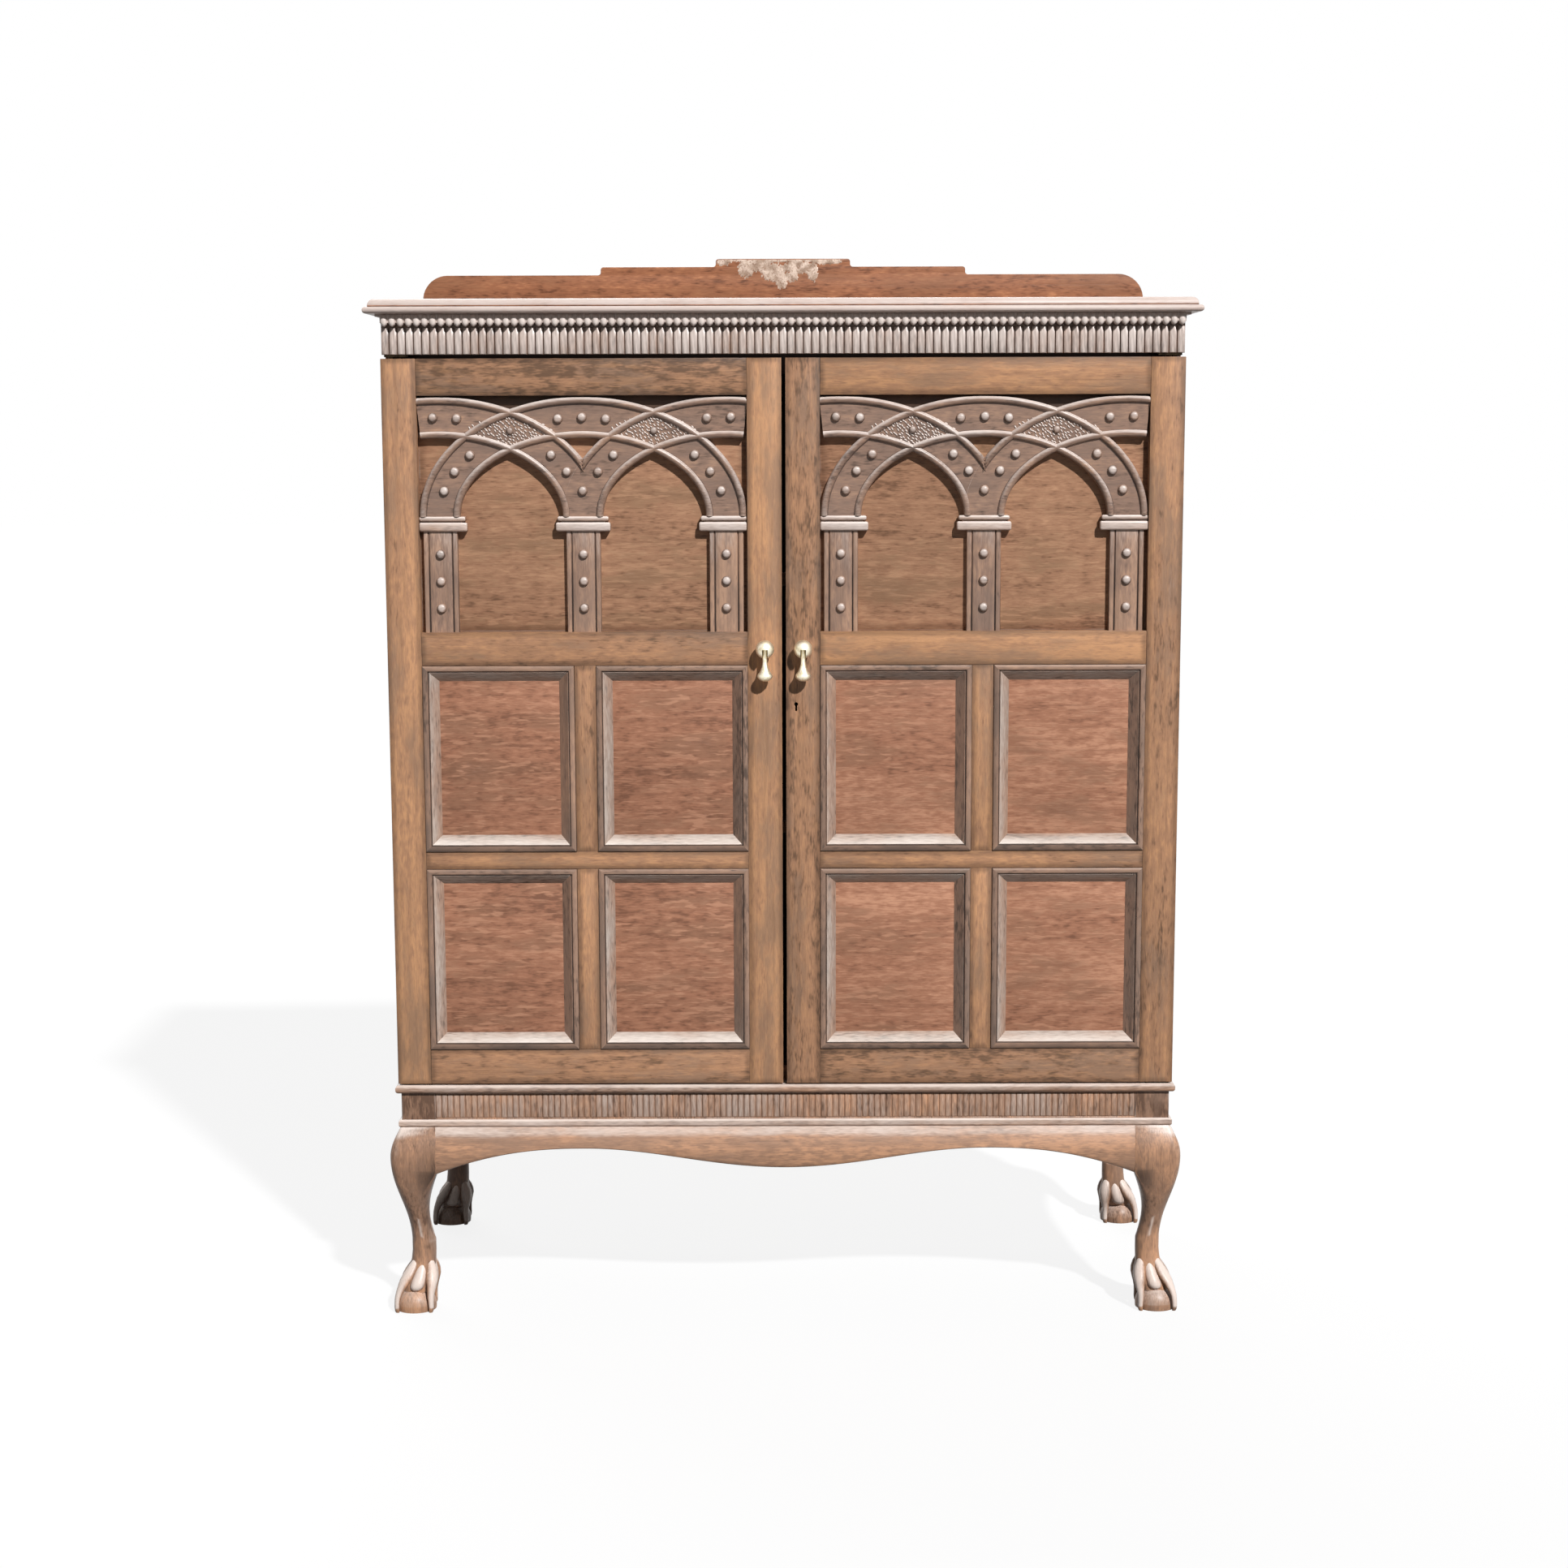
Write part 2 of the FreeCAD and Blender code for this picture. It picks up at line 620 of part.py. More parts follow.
back_y = number("base_back")
cove_step = box(
    "top_cove_step",
    across("top_half - cove_setback"),
    ("top_front + cove_setback", "base_back"),
    ("frieze_top", "nosing_low"),
)
nosing_step = box(
    "top_nosing_step",
    across("top_half"),
    ("top_front", "base_back"),
    ("nosing_low", "nosing_top"),
)
ovolo_step = box(
    "top_ovolo_step",
    across("top_half - ovolo_setback"),
    ("top_front + ovolo_setback", "base_back"),
    ("nosing_top", "top_surface"),
)
surface_z = number("top_surface")
bullnose = rounded(
    "top_bullnose",
    nosing_step,
    "nosing_round",
    lambda span: near(span.ZLength, 0) and span.YMin < back_y - 1,
)
ovolo = rounded(
    "top_ovolo",
    ovolo_step,
    "ovolo_round",
    lambda span: near(span.ZMin, surface_z) and span.YMin < back_y - 1,
)
node(fuse("top_board", [cove_step, bullnose, ovolo]))

gallery_left = [
    ("-gallery_length / 2", "0"),
    ("-gallery_length / 2", "gallery_low - gallery_end_round"),
    ("gallery_end_round - gallery_length / 2", "gallery_low"),
]
gallery_bends = {1: ("gallery_end_round", -1)}
for length, low, high in (
    ("gallery_mid_length", "gallery_low", "gallery_mid"),
    ("gallery_top_length", "gallery_mid", "gallery_height"),
):
    gallery_bends[len(gallery_left)] = ("gallery_step_round", 1)
    gallery_left.append((f"-{length} / 2 - gallery_step_round", low))
    gallery_left.append((f"-{length} / 2", f"{low} + gallery_step_round"))
    gallery_bends[len(gallery_left)] = ("gallery_step_round", -1)
    gallery_left.append((f"-{length} / 2", f"{high} - gallery_step_round"))
    gallery_left.append((f"gallery_step_round - {length} / 2", high))
gallery_right = [(f"-({x})", y) for x, y in reversed(gallery_left)]
last = 2 * len(gallery_left) - 2
gallery_bends.update({last - place: bend for place, bend in gallery_bends.items()})
gallery = padded("gallery", "XZ_Plane", gallery_left + gallery_right, gallery_bends, "gallery_thickness")
node(seat(gallery, "0", "base_back", "top_surface"))

# Base mouldings: a front strip mitred to two side strips.
TURNS = {"left": Rotation(Vector(0, 0, 1), -90), "right": Rotation(Vector(0, 0, 1), 90)}


def mitred_strips(name, projection, width, low, high, radius):
    outer = f"(case_half + {projection})"
    inner = f"({outer} - {width})"
    front = f"(base_front - {projection})"
    corner = f"({front} + {width})"
    plans = {
        "front": (f"-{outer}", outer, f"-{inner}", inner, front, corner),
        "left": ("-base_back", f"-{front}", "-base_back", f"-{corner}", f"-{outer}", f"-{inner}"),
        "right": (front, "base_back", corner, "base_back", f"-{outer}", f"-{inner}"),
    }
    strips = {}
    for side, plan in plans.items():
        strip = doc.addObject("Part::Wedge", f"{name}_{side}_strip")
        bind(strip, Xmin=plan[0], Xmax=plan[1], X2min=plan[2], X2max=plan[3], Ymin=plan[4], Ymax=plan[5])
        bind(strip, Zmin=low, Zmax=high, Z2min=low, Z2max=high)
        if side in TURNS:
            strip.Placement = Placement(Vector(), TURNS[side])
        face_x = number(outer)
        face_y = number(front)

        def wanted(span, side=side, face_x=face_x, face_y=face_y):
            if not near(span.ZLength, 0):
                return False
            if side == "front":
                return near(span.YMax, face_y)
            return near(abs(span.XMin), face_x) and near(span.XLength, 0)

        strips[side] = rounded(f"{name}_{side}", strip, radius, wanted)
    return strips


base_top = mitred_strips(
    "base_top", "base_top_projection", "base_top_width", "base_top_under", "base_height", "base_top_round"
)


def plate(name, sign, low, high):
    """A pivot plate at one door's pivot line."""
    ends = ["pivot_x - pivot_plate_length + pivot_plate_tail", "pivot_x + pivot_plate_tail"]
    if sign < 0:
        ends = [f"-({place})" for place in reversed(ends)]
    depth = ("pivot_y - pivot_plate_width / 2", "pivot_y + pivot_plate_width / 2")
    return box(name, ends, depth, (low, high))


base_recesses = {}
for side, sign in (("left", -1), ("right", 1)):
    low = "base_height - pivot_plate_thickness"
    plate_bed = plate(f"base_recess_{side}", sign, low, "base_height + overrun")
    well = rod(
        f"base_well_{side}",
        "pivot_radius + pivot_well_clearance",
        (f"{sign} * pivot_x", "pivot_y", f"{low} - pivot_well"),
        "pivot_well + overrun",
    )
    base_recesses[side] = fuse(f"base_pivot_space_{side}", [plate_bed, well])
base_top_pieces = [
    cut("base_top_front_cut", base_top["front"], list(base_recesses.values())),
    cut("base_top_left_cut", base_top["left"], [base_recesses["left"]]),
    cut("base_top_right_cut", base_top["right"], [base_recesses["right"]]),
    box(
        "base_top_back",
        across("case_half + base_top_projection - base_top_width"),
        ("base_back - base_top_width", "base_back"),
        ("base_top_under", "base_height"),
    ),
]
node(group("base_top_moulding", base_top_pieces))
waist = mitred_strips(
    "waist", "waist_projection", "waist_projection", "waist_low", "waist_top", "waist_round"
)
node(group("waist_moulding", list(waist.values())))

# Base rails and aprons.
node(solid("base_front_rail", reeded_board(
    half=number("apron_half"),
    front=number("base_front"),
    back=number("base_front + base_rail_thickness"),
    low=number("waist_low"),
    high=number("base_top_under"),
    reed_low=number("waist_top + base_reed_margin"),
    reed_high=number("base_top_under - base_reed_margin"),
    count=int(number("base_reeds")),
    relief=number("base_reed_relief"),
)))
rail_run = ("base_front + leg_block", "base_back - leg_block")
rail_rise = ("waist_low", "base_top_under")
node(group("base_side_rails", [
    box("base_left_rail", ("-case_half", "base_rail_thickness - case_half"), rail_run, rail_rise),
    box("base_right_rail", ("case_half - base_rail_thickness", "case_half"), rail_run, rail_rise),
]))
node(box("base_back_rail", across("apron_half"), ("base_back - base_rail_thickness", "base_back"), rail_rise))

APRON_SECTION = [
    ("-knee_lip", "0"),
    ("-apron_foot", "-apron_end_drop"),
    ("apron_thickness", "-apron_end_drop"),
    ("apron_thickness", "0"),
]


def apron(name, half, edge, bends, place, turn):
    """A swelling board with a sawn lower edge, made facing -Y and turned to its side."""
    section = padded(f"{name}_board", "YZ_Plane", APRON_SECTION, {0: ("apron_curve", 1)}, f"2 * {half}")
    ends = [(f"-{half}", "-apron_end_drop - overrun"), (f"-{half}", "-apron_end_drop")]
    mirrored = [(f"-({x})", y) for x, y in reversed(ends)]
    waste_depth = "apron_thickness + knee_swell + 2 * overrun"
    waste = padded(f"{name}_waste", "XZ_Plane", ends + edge + mirrored, bends, waste_depth)
    start = turn.multVec(Vector(1, 0, 0))
    deep = turn.multVec(Vector(0, 1, 0))
    x, y = place
    seat(section, f"{x} - {start.x} * {half}", f"{y} - {start.y} * {half}", "waist_low", turn)
    back = "(apron_thickness + overrun)"
    seat(waste, f"{x} + {deep.x} * {back}", f"{y} + {deep.y} * {back}", "waist_low", turn)
    return cut(name, section, [waste])


FRONT_EDGE = [
    ("-apron_crest_reach", "-apron_crest_drop"),
    ("-apron_crest_reach / 2", "-apron_wave_mid"),
    ("apron_crest_reach / 2", "-apron_wave_mid"),
    ("apron_crest_reach", "-apron_crest_drop"),
]
FRONT_BENDS = {
    1: ("apron_end_curve", -1),
    2: ("apron_wave", -1),
    3: ("apron_wave", 1),
    4: ("apron_wave", -1),
    5: ("apron_end_curve", -1),
}
node(apron("apron_front", "apron_half", FRONT_EDGE, FRONT_BENDS, ("0", "base_front"), UP))
SIDE_EDGE = [("0", "-apron_crest_drop")]
SIDE_BENDS = {1: ("apron_side_curve", -1), 2: ("apron_side_curve", -1)}
side_aprons = [
    apron("apron_left", "apron_side_half", SIDE_EDGE, SIDE_BENDS, ("-case_half", "base_mid"), TURNS["left"]),
    apron("apron_right", "apron_side_half", SIDE_EDGE, SIDE_BENDS, ("case_half", "base_mid"), TURNS["right"]),
]
node(group("apron_sides", side_aprons))


# Proportions of a carved foot. The ball's flats are given by their angles. The cheeks are where the ankle
# meets the ball. A toe leaves the ankle, passes a knuckle and the ball's side, and ends in a claw; its
# reach and width there are shares of the named ones, and its inner edge is wider than its outer edge.
BALL_FLATS = (-40, -13, 13, 40, 70)
CHEEK_SHARE = 0.8
TOE_REACHES = {"start": 0.4, "knuckle": 0.8, "side": 1, "claw": 0.92}
TOE_WIDTHS = {"start": 0.9, "knuckle": 1, "side": 0.9, "claw": 0.6}
TOE_LEAN = 1 / 3
KNUCKLE_LEAN = 0.6
TOE_SECTION = [(1, -0.6), (1, 0.6), (-1, 1), (-1, -1)]
KNEE_STEPS = 3
CALF_STEPS = 5


def carved_leg():
    """A cabriole leg: sawn S curve with shaved arrises, ball and four toes, for the front left corner."""
    corner = Vector(-number("case_half"), number("base_front"), 0)
    block = number("leg_block")
    waist = number("waist_low")
    lip = number("knee_lip")
    swell = number("knee_swell")
    knee = number("waist_low - knee_drop")
    ankle = number("ankle_height")
    ankle_face = -number("ankle_inset")
    ankle_low = ankle_face - number("ankle_width")
    chamfer = number("knee_chamfer")
    ball = number("ball_radius")
    ball_z = number("ball_height")
    ball_mid = -number("ball_inset")
    cheek = CHEEK_SHARE * ball

    def spot(out, front, height):
        return corner + Vector(-out, -front, height)

    def section(height, face, low, shave):
        plan = [
            (low + shave, low), (face - shave, low), (face, low + shave), (face, face - shave),
            (face - shave, face), (low + shave, face), (low, face - shave), (low, low + shave),
        ]
        return [spot(out, front, height) for out, front in plan]

    # Outer and inner faces follow quarter and half waves from waist to knee, ankle and ball.
    stations = []
    for step in range(KNEE_STEPS):
        part = step / KNEE_STEPS
        share = math.sin(math.pi / 2 * part)
        height = waist + (knee - waist) * part
        stations.append(section(height, lip + (swell - lip) * share, -block, lip + (chamfer - lip) * share))
    for step in range(CALF_STEPS + 1):
        part = step / CALF_STEPS
        share = (1 - math.cos(math.pi * part)) / 2
        low = -block + (ankle_low + block) * part + number("calf_hollow") * math.sin(math.pi * part)
        face = swell + (ankle_face - swell) * share
        stations.append(section(knee + (ankle - knee) * part, face, low, chamfer))
    for part in (0.5, 1):
        face = ankle_face + (ball_mid + cheek - ankle_face) * part ** 2
        low = ankle_low + (ball_mid - cheek - ankle_low) * part ** 2
        stations.append(section(ankle + (ball_z + cheek - ankle) * part, face, low, chamfer))
    head = Part.makeBox(block, block, number("base_top_under") - waist, corner + Vector(0, 0, waist))
    shapes = [skin(stations[::-1])]

    # The ball is carved in flats and stands on the lowest one.
    heights = [-ball_z] + [ball * math.sin(math.radians(angle)) for angle in BALL_FLATS]
    profile = [(math.sqrt(ball ** 2 - height ** 2), ball_z + height) for height in heights]
    shapes.append(spun(profile, spot(ball_mid, ball_mid, 0)))

    # Each toe runs from its claw tip over the ball to the ankle: height and middle of each station.
    start = number("toe_start")
    start_mid = (ankle_face + ankle_low) / 2 + (ankle - start) * TOE_LEAN
    knuckle_mid = start_mid + (ball_mid - start_mid) * KNUCKLE_LEAN
    reach = number("toe_reach")
    wide = number("toe_width")
    toe_places = {
        "claw": (number("toe_clear"), ball_mid),
        "side": (ball_z, ball_mid),
        "knuckle": (ball_z + cheek, knuckle_mid),
        "start": (start, start_mid),
    }
    for quarter in range(4):
        angle = math.radians(45 + 90 * quarter)
        out = Vector(math.cos(angle), math.sin(angle), 0)
        aside = Vector(-out.y, out.x, 0)
        rings = []
        for station, (height, middle) in toe_places.items():
            centre = Vector(middle, middle, 0) + out * (TOE_REACHES[station] * reach)
            half = TOE_WIDTHS[station] * wide / 2
            plan = [centre + (out * one + aside * other) * half for one, other in TOE_SECTION]
            rings.append([spot(mark.x, mark.y, height) for mark in plan])
        shapes.append(skin(rings))
    return head.fuse(shapes)


front_left_leg = node(solid("front_left_leg", carved_leg()))
node(mirror("front_right_leg", front_left_leg))
back_left_leg = node(mirror("back_left_leg", front_left_leg, Vector(0, 1, 0)))
back_left_leg.setExpression("Base.y", link("base_mid"))
node(mirror("back_right_leg", back_left_leg))

# Pivot hinges: a pin on a plate let into each end of the hinge stile, and sockets that take the pins.
sockets = []
for side, sign in (("left", -1), ("right", 1)):
    line = (f"{sign} * pivot_x", "pivot_y")
    bore = "pivot_radius + pivot_clearance"
    head_low = "frieze_low - pivot_plate_thickness"
    head_plate = plate(f"head_plate_{side}", sign, head_low, "frieze_low")
    bore_length = "pivot_plate_thickness + 3 * overrun"
    head_bore = rod(f"head_bore_{side}", bore, (*line, f"{head_low} - overrun"), bore_length)
    sockets.append(cut(f"head_socket_{side}", head_plate, [head_bore]))
    foot_low = "base_height - pivot_plate_thickness"
    foot_plate = plate(f"foot_plate_{side}", sign, foot_low, "door_low")
    foot_bore = rod(f"foot_bore_{side}", bore, (*line, f"{foot_low} - overrun"), bore_length)
    sockets.append(cut(f"foot_socket_{side}", foot_plate, [foot_bore]))
node(group("pivot_sockets", sockets))

# Left door; most of the right door is its mirror image.
door_depth = ("door_front", "door_back")
door_rise = ("door_low", "door_top")
pin_plates = [
    plate("pin_plate_top", -1, "door_top - pivot_plate_thickness", "door_top"),
    plate("pin_plate_foot", -1, "door_low", "door_low + pivot_plate_thickness"),
]
pin_length = "pivot_length + pivot_plate_thickness"
pin_rods = [
    rod("pin_top", "pivot_radius", ("-pivot_x", "pivot_y", "door_top - pivot_plate_thickness"), pin_length),
    rod("pin_foot", "pivot_radius", ("-pivot_x", "pivot_y", "door_low - pivot_length"), pin_length),
]
pins = [fuse(f"pivot_pin_{place}", list(pair)) for place, pair in enumerate(zip(pin_plates, pin_rods))]
left_pins = node(group("left_pivot_pins", pins))

outer_x = -number("door_half")
stile_back = number("door_back")
hinge_board = box("hinge_stile_board", ("-door_half", "-window_out"), door_depth, door_rise)
hinge_rounded = rounded(
    "hinge_stile_rounded",
    hinge_board,
    "stile_round",
    lambda span: near(span.XMax, outer_x) and near(span.YMin, stile_back) and span.ZLength > 1,
)
hinge_stile = node(cut("left_hinge_stile", hinge_rounded, pin_plates))

rails = [
    node(box(f"left_{name}", ("-window_out", "-window_in"), door_depth, rise))
    for name, rise in (
        ("top_rail", ("top_rail_low", "door_top")),
        ("lock_rail", ("lock_rail_low", "lock_rail_top")),
        ("bottom_rail", ("door_low", "bottom_rail_top")),
    )
]
muntin_span = ("-door_mid - muntin_width / 2", "muntin_width / 2 - door_mid")
dividers = node(group("left_panel_dividers", [
    box("cross_rail", ("-window_out", "-window_in"), door_depth, ("cross_rail_low", "cross_rail_top")),
    box("upper_muntin", muntin_span, door_depth, ("cross_rail_top", "lock_rail_low")),
    box("lower_muntin", muntin_span, door_depth, ("bottom_rail_top", "cross_rail_low")),
]))


def panel_moulding(name, span, rise):
    """A mitred frame: a proud flat lip, then a slope down to the panel."""
    def inset(pair, amount):
        return eased(pair, f"(-{amount})")

    block = box(f"{name}_block", span, ("door_front - moulding_proud", "panel_front"), rise)
    mouth_depth = ("door_front - moulding_proud - overrun", "door_front")
    mouth = box(f"{name}_mouth", inset(span, "moulding_lip"), mouth_depth, inset(rise, "moulding_lip"))
    slope = doc.addObject("Part::Wedge", f"{name}_slope")
    wide_x, wide_z = inset(span, "moulding_lip"), inset(rise, "moulding_lip")
    small_x, small_z = inset(span, "moulding_width"), inset(rise, "moulding_width")
    bind(slope, Ymin="door_front", Xmin=wide_x[0], Xmax=wide_x[1], Zmin=wide_z[0], Zmax=wide_z[1])
    bind(slope, Ymax="panel_front", X2min=small_x[0], X2max=small_x[1], Z2min=small_z[0], Z2max=small_z[1])
    return cut(name, block, [fuse(f"{name}_opening", [mouth, slope])])


panels = []
mouldings = []
for column, span in (
    ("outer", ("-window_out", "-door_mid - muntin_width / 2")),
    ("inner", ("muntin_width / 2 - door_mid", "-window_in")),
):
    for row, rise in (
        ("upper", ("cross_rail_top", "lock_rail_low")),
        ("lower", ("bottom_rail_top", "cross_rail_low")),
    ):
        depth = ("panel_front", "panel_front + panel_thickness")
        panels.append(box(f"{row}_{column}_panel", span, depth, rise))
        mouldings.append(panel_moulding(f"{row}_{column}_moulding", span, rise))
flat_panels = node(group("left_flat_panels", panels))
panel_mouldings = node(group("left_panel_mouldings", mouldings))

# Arcade: three interlaced arches over three pilasters, planted on a flat panel.
arcade_panel = node(box(
    "left_arcade_panel",
    ("-window_out", "-window_in"),
    ("arcade_front", "arcade_front + panel_thickness"),
    ("lock_rail_top", "top_rail_low"),
))
CENTRES = [f"({place} * arcade_pitch - door_mid)" for place in (-1, 0, 1)]


def oval(name, centre, grow):
    """A standing elliptical face around an arch's middle line, grown or shrunk all round."""
    curve = doc.addObject("Part::Ellipse", f"{name}_curve")
    bind(curve, MajorRadius=f"arcade_pitch + {grow}", MinorRadius=f"arch_rise + {grow}")
    seat(curve, centre, "arcade_front", "spring", UPRIGHT)
    face = doc.addObject("Part::Face", name)
    face.Sources = [curve]
    return face


def oval_ring(name, centre, outer, inner):
    return cut(name, oval(f"{name}_outer", centre, outer), [oval(f"{name}_inner", centre, inner)])


def interlaced(name, rings, relief):
    """Crossing rings joined flat, trimmed to the arcade opening and given their thickness."""
    joined = fuse(f"{name}_joined", rings)
    joined.Refine = True
    seen = doc.addObject("Part::Common", f"{name}_seen")
    seen.Base = joined
    seen.Tool = arch_window
    raised = doc.addObject("Part::Extrusion", name)
    raised.Base = seen
    raised.DirMode = "Custom"
    raised.Dir = Vector(0, -1, 0)
    raised.Solid = True
    return bind(raised, LengthFwd=relief)


arch_window = doc.addObject("Part::Plane", "arch_window")
bind(arch_window, Length="window_out - window_in", Width="top_rail_low - spring")
seat(arch_window, "-window_out", "arcade_front", "spring", UPRIGHT)
bands = []
beads = []
for place, centre in enumerate(CENTRES):
    half = "arch_band / 2"
    field = "(arch_band - bead_width) / 2"
    bands.append(oval_ring(f"arch_{place}", centre, field, f"-{field}"))
    beads.append(oval_ring(f"outer_bead_{place}", centre, half, f"({half} - bead_width)"))
    beads.append(oval_ring(f"inner_bead_{place}", centre, f"(bead_width - {half})", f"-{half}"))
arches = node(fuse("left_arcade_arches", [
    interlaced("arch_bands", bands, "arch_relief"),
    interlaced("arch_beads", beads, "arch_relief + bead_relief"),
]))

pilasters = []
for place, centre in enumerate(CENTRES):
    def strip(name, width, relief, low, high, centre=centre, place=place):
        span = (f"max(-window_out; {centre} - {width} / 2)", f"min(-window_in; {centre} + {width} / 2)")
        return box(f"{name}_{place}", span, (f"arcade_front - {relief}", "arcade_front"), (low, high))

    shaft = strip("shaft", "pilaster_width", "arch_relief", "lock_rail_top", "spring")
    bead_low = "capital_top - capital_height"
    bead = strip("capital_bead", "capital_width", "capital_relief", bead_low, "capital_top")
    front_y = number("arcade_front - capital_relief")
    bead_round = rounded(
        f"capital_{place}",
        bead,
        "capital_round",
        lambda span: near(span.YMax, front_y) and near(span.ZLength, 0),
        "Part::Chamfer",
    )
    collar = strip("collar", "capital_width", "collar_relief", "collar_low", "spring")
    pilasters.append(fuse(f"pilaster_{place}", [shaft, bead_round, collar]))
arcade_pilasters = node(group("left_arcade_pilasters", pilasters))


def stud(x, z, diameter):
    """A low six-sided boss standing on the face of the arches, narrower at its front."""
    base = Vector(x, number("arcade_front - arch_relief"), z)
    front = base - Vector(0, number("stud_height"), 0)
    rings = []
    for middle, radius in ((base, diameter / 2), (front, number("stud_taper") * diameter / 2)):
        angles = [math.radians(60 * place) for place in range(6)]
        rings.append([middle + Vector(math.cos(turn), 0, math.sin(turn)) * radius for turn in angles])
    return skin(rings)


def stud_places():
    """Middles of the studs of the left door, with their diameters."""
    middle = -number("door_mid")
    pitch = number("arcade_pitch")
    rise = number("arch_rise")
    line = number("spring")
    full = number("stud_diameter")
    gap = number("crown_stud_pitch")
    low, *high = [math.radians(number(f"arch_stud_{name}")) for name in ("low", "middle", "high")]
    found = [(middle, line + rise * math.sin(low), full)]
    for side in (-1, 1):
        for turn in (low, *high):
            found.append((middle + side * pitch * math.cos(turn), line + rise * math.sin(turn), full))
        for turn in high:
            found.append((middle + side * pitch * (1 - math.cos(turn)), line + rise * math.sin(turn), full))
        small = number("cross_stud_diameter")
        found.append((middle + side * pitch / 2, line + rise * math.sqrt(0.75), small))
        for along in (-gap / 2, gap / 2):
            shift = along - side * number("crown_stud_shift")
            crown = line + rise * math.sqrt(1 - (shift / pitch) ** 2)
            found.append((middle + side * pitch + shift, crown, full))
    for along in (-gap, 0, gap):
        found.append((middle + along, line + rise * math.sqrt(1 - (along / pitch) ** 2), full))
    for place in (-1, 0, 1):
        for step in range(3):
            drop = number("pilaster_stud_drop") + step * number("pilaster_stud_pitch")
            found.append((middle + place * pitch, line - drop, full))
    return found


studs = node(solid("left_arcade_studs", Part.makeCompound([stud(*place) for place in stud_places()])))

# Pull: a ball boss with a slot and a cross pin, and a bell drop hanging on the pin.
BOSS_FLATS = (-60, -37, -13, 13, 37, 60)
boss_ball_radius = number("boss_radius")
boss_profile = [(number("boss_neck_radius"), 0)]
for angle in BOSS_FLATS:
    turn = math.radians(angle)
    height = number("boss_standoff") + boss_ball_radius * math.sin(turn)
    boss_profile.append((boss_ball_radius * math.cos(turn), height))
boss_profile.append((number("boss_front_flat"), number("pull_reach")))
boss_seat = Vector(-number("pull_x"), number("door_front"), number("pull_z"))
boss_ball = solid("boss_ball", spun(boss_profile, boss_seat, UPRIGHT))
slot_span = ("-pull_x - pull_slot_width / 2", "pull_slot_width / 2 - pull_x")
boss_slot = box(
    "boss_slot",
    slot_span,
    ("boss_pivot_y - boss_radius - overrun", "boss_pivot_y + drop_neck_radius + 2 * pull_side_clearance"),
    ("pull_z - boss_radius - overrun", "pull_z"),
)
boss_hollow = box(
    "boss_hollow",
    slot_span,
    ("boss_pivot_y - pull_hollow", "boss_pivot_y + drop_eye_radius + pull_side_clearance"),
    ("pull_z - boss_radius", "pull_z + drop_eye_radius + pull_side_clearance"),
)
boss_cut = cut("boss_cut", boss_ball, [fuse("boss_space", [boss_slot, boss_hollow])])
pull_pin = rod(
    "pull_pin",
    "pull_pin_radius",
    ("-pull_x - pull_pin_length / 2", "boss_pivot_y", "pull_z"),
    "pull_pin_length",
    ALONG_X,
)
pull_boss = node(fuse("left_pull_boss", [boss_cut, pull_pin]))

drop_profile = [
    (number("drop_foot_radius"), -number("drop_length")),
    (number("drop_bell_radius"), -number("drop_rim_low")),
    (number("drop_bell_radius"), -number("drop_rim_top")),
    (number("drop_waist_radius"), -number("drop_waist_drop")),
    (number("drop_neck_radius"), -number("drop_neck_length")),
    (number("drop_neck_radius"), 0),
]
drop_seat = Vector(-number("pull_x"), number("boss_pivot_y"), number("pull_z"))
drop_body = solid("drop_body", spun(drop_profile, drop_seat))
eye_width = "pull_slot_width - 2 * pull_side_clearance"
drop_eye_half = number(eye_width) / 2
drop_eye_profile = [(number("drop_eye_radius"), end) for end in (-drop_eye_half, drop_eye_half)]
drop_eye = solid("drop_eye", spun(drop_eye_profile, drop_seat, ALONG_X))
drop_bore = rod(
    "drop_bore",
    "pull_pin_radius + pivot_clearance",
    (slot_span[0], "boss_pivot_y", "pull_z"),
    "pull_slot_width",
    ALONG_X,
)
pull_drop = node(cut("left_pull_drop", fuse("drop_solid", [drop_body, drop_eye]), [drop_bore]))

# Mirror image of the left door.
for source in (
    hinge_stile, *rails, dividers, flat_panels, panel_mouldings, arcade_panel, arches, arcade_pilasters,
    studs, left_pins, pull_boss, pull_drop,
):
    node(mirror(source.Label.replace("left_", "right_", 1), source))

# Meeting stiles, lock and keyhole.
bolt_depth = ("bolt_y - bolt_thickness / 2", "bolt_y + bolt_thickness / 2")
bolt_rise = ("bolt_z - bolt_height / 2", "bolt_z + bolt_height / 2")


strike_depth = eased(bolt_depth, "strike_clearance")
strike_rise = eased(bolt_rise, "strike_clearance")
strike = box("strike_mortise", ("-meet_x - bolt_throw", "overrun - meet_x"), strike_depth, strike_rise)
left_meeting = box("left_meeting_board", ("-window_in", "-meet_x"), door_depth, door_rise)
node(cut("left_meeting_stile", left_meeting, [strike]))


def keyhole(name, depth):
    """A round hole over a straight slot."""
    start = ("keyhole_x", depth[0], "keyhole_z")
    hole = rod(f"{name}_hole", "keyhole_radius", start, f"({depth[1]}) - ({depth[0]})", ALONG_Y)
    span = ("keyhole_x - keyhole_slot / 2", "keyhole_x + keyhole_slot / 2")
    slot = box(f"{name}_slot", span, depth, ("keyhole_z - keyhole_length", "keyhole_z"))
    return fuse(name, [hole, slot])


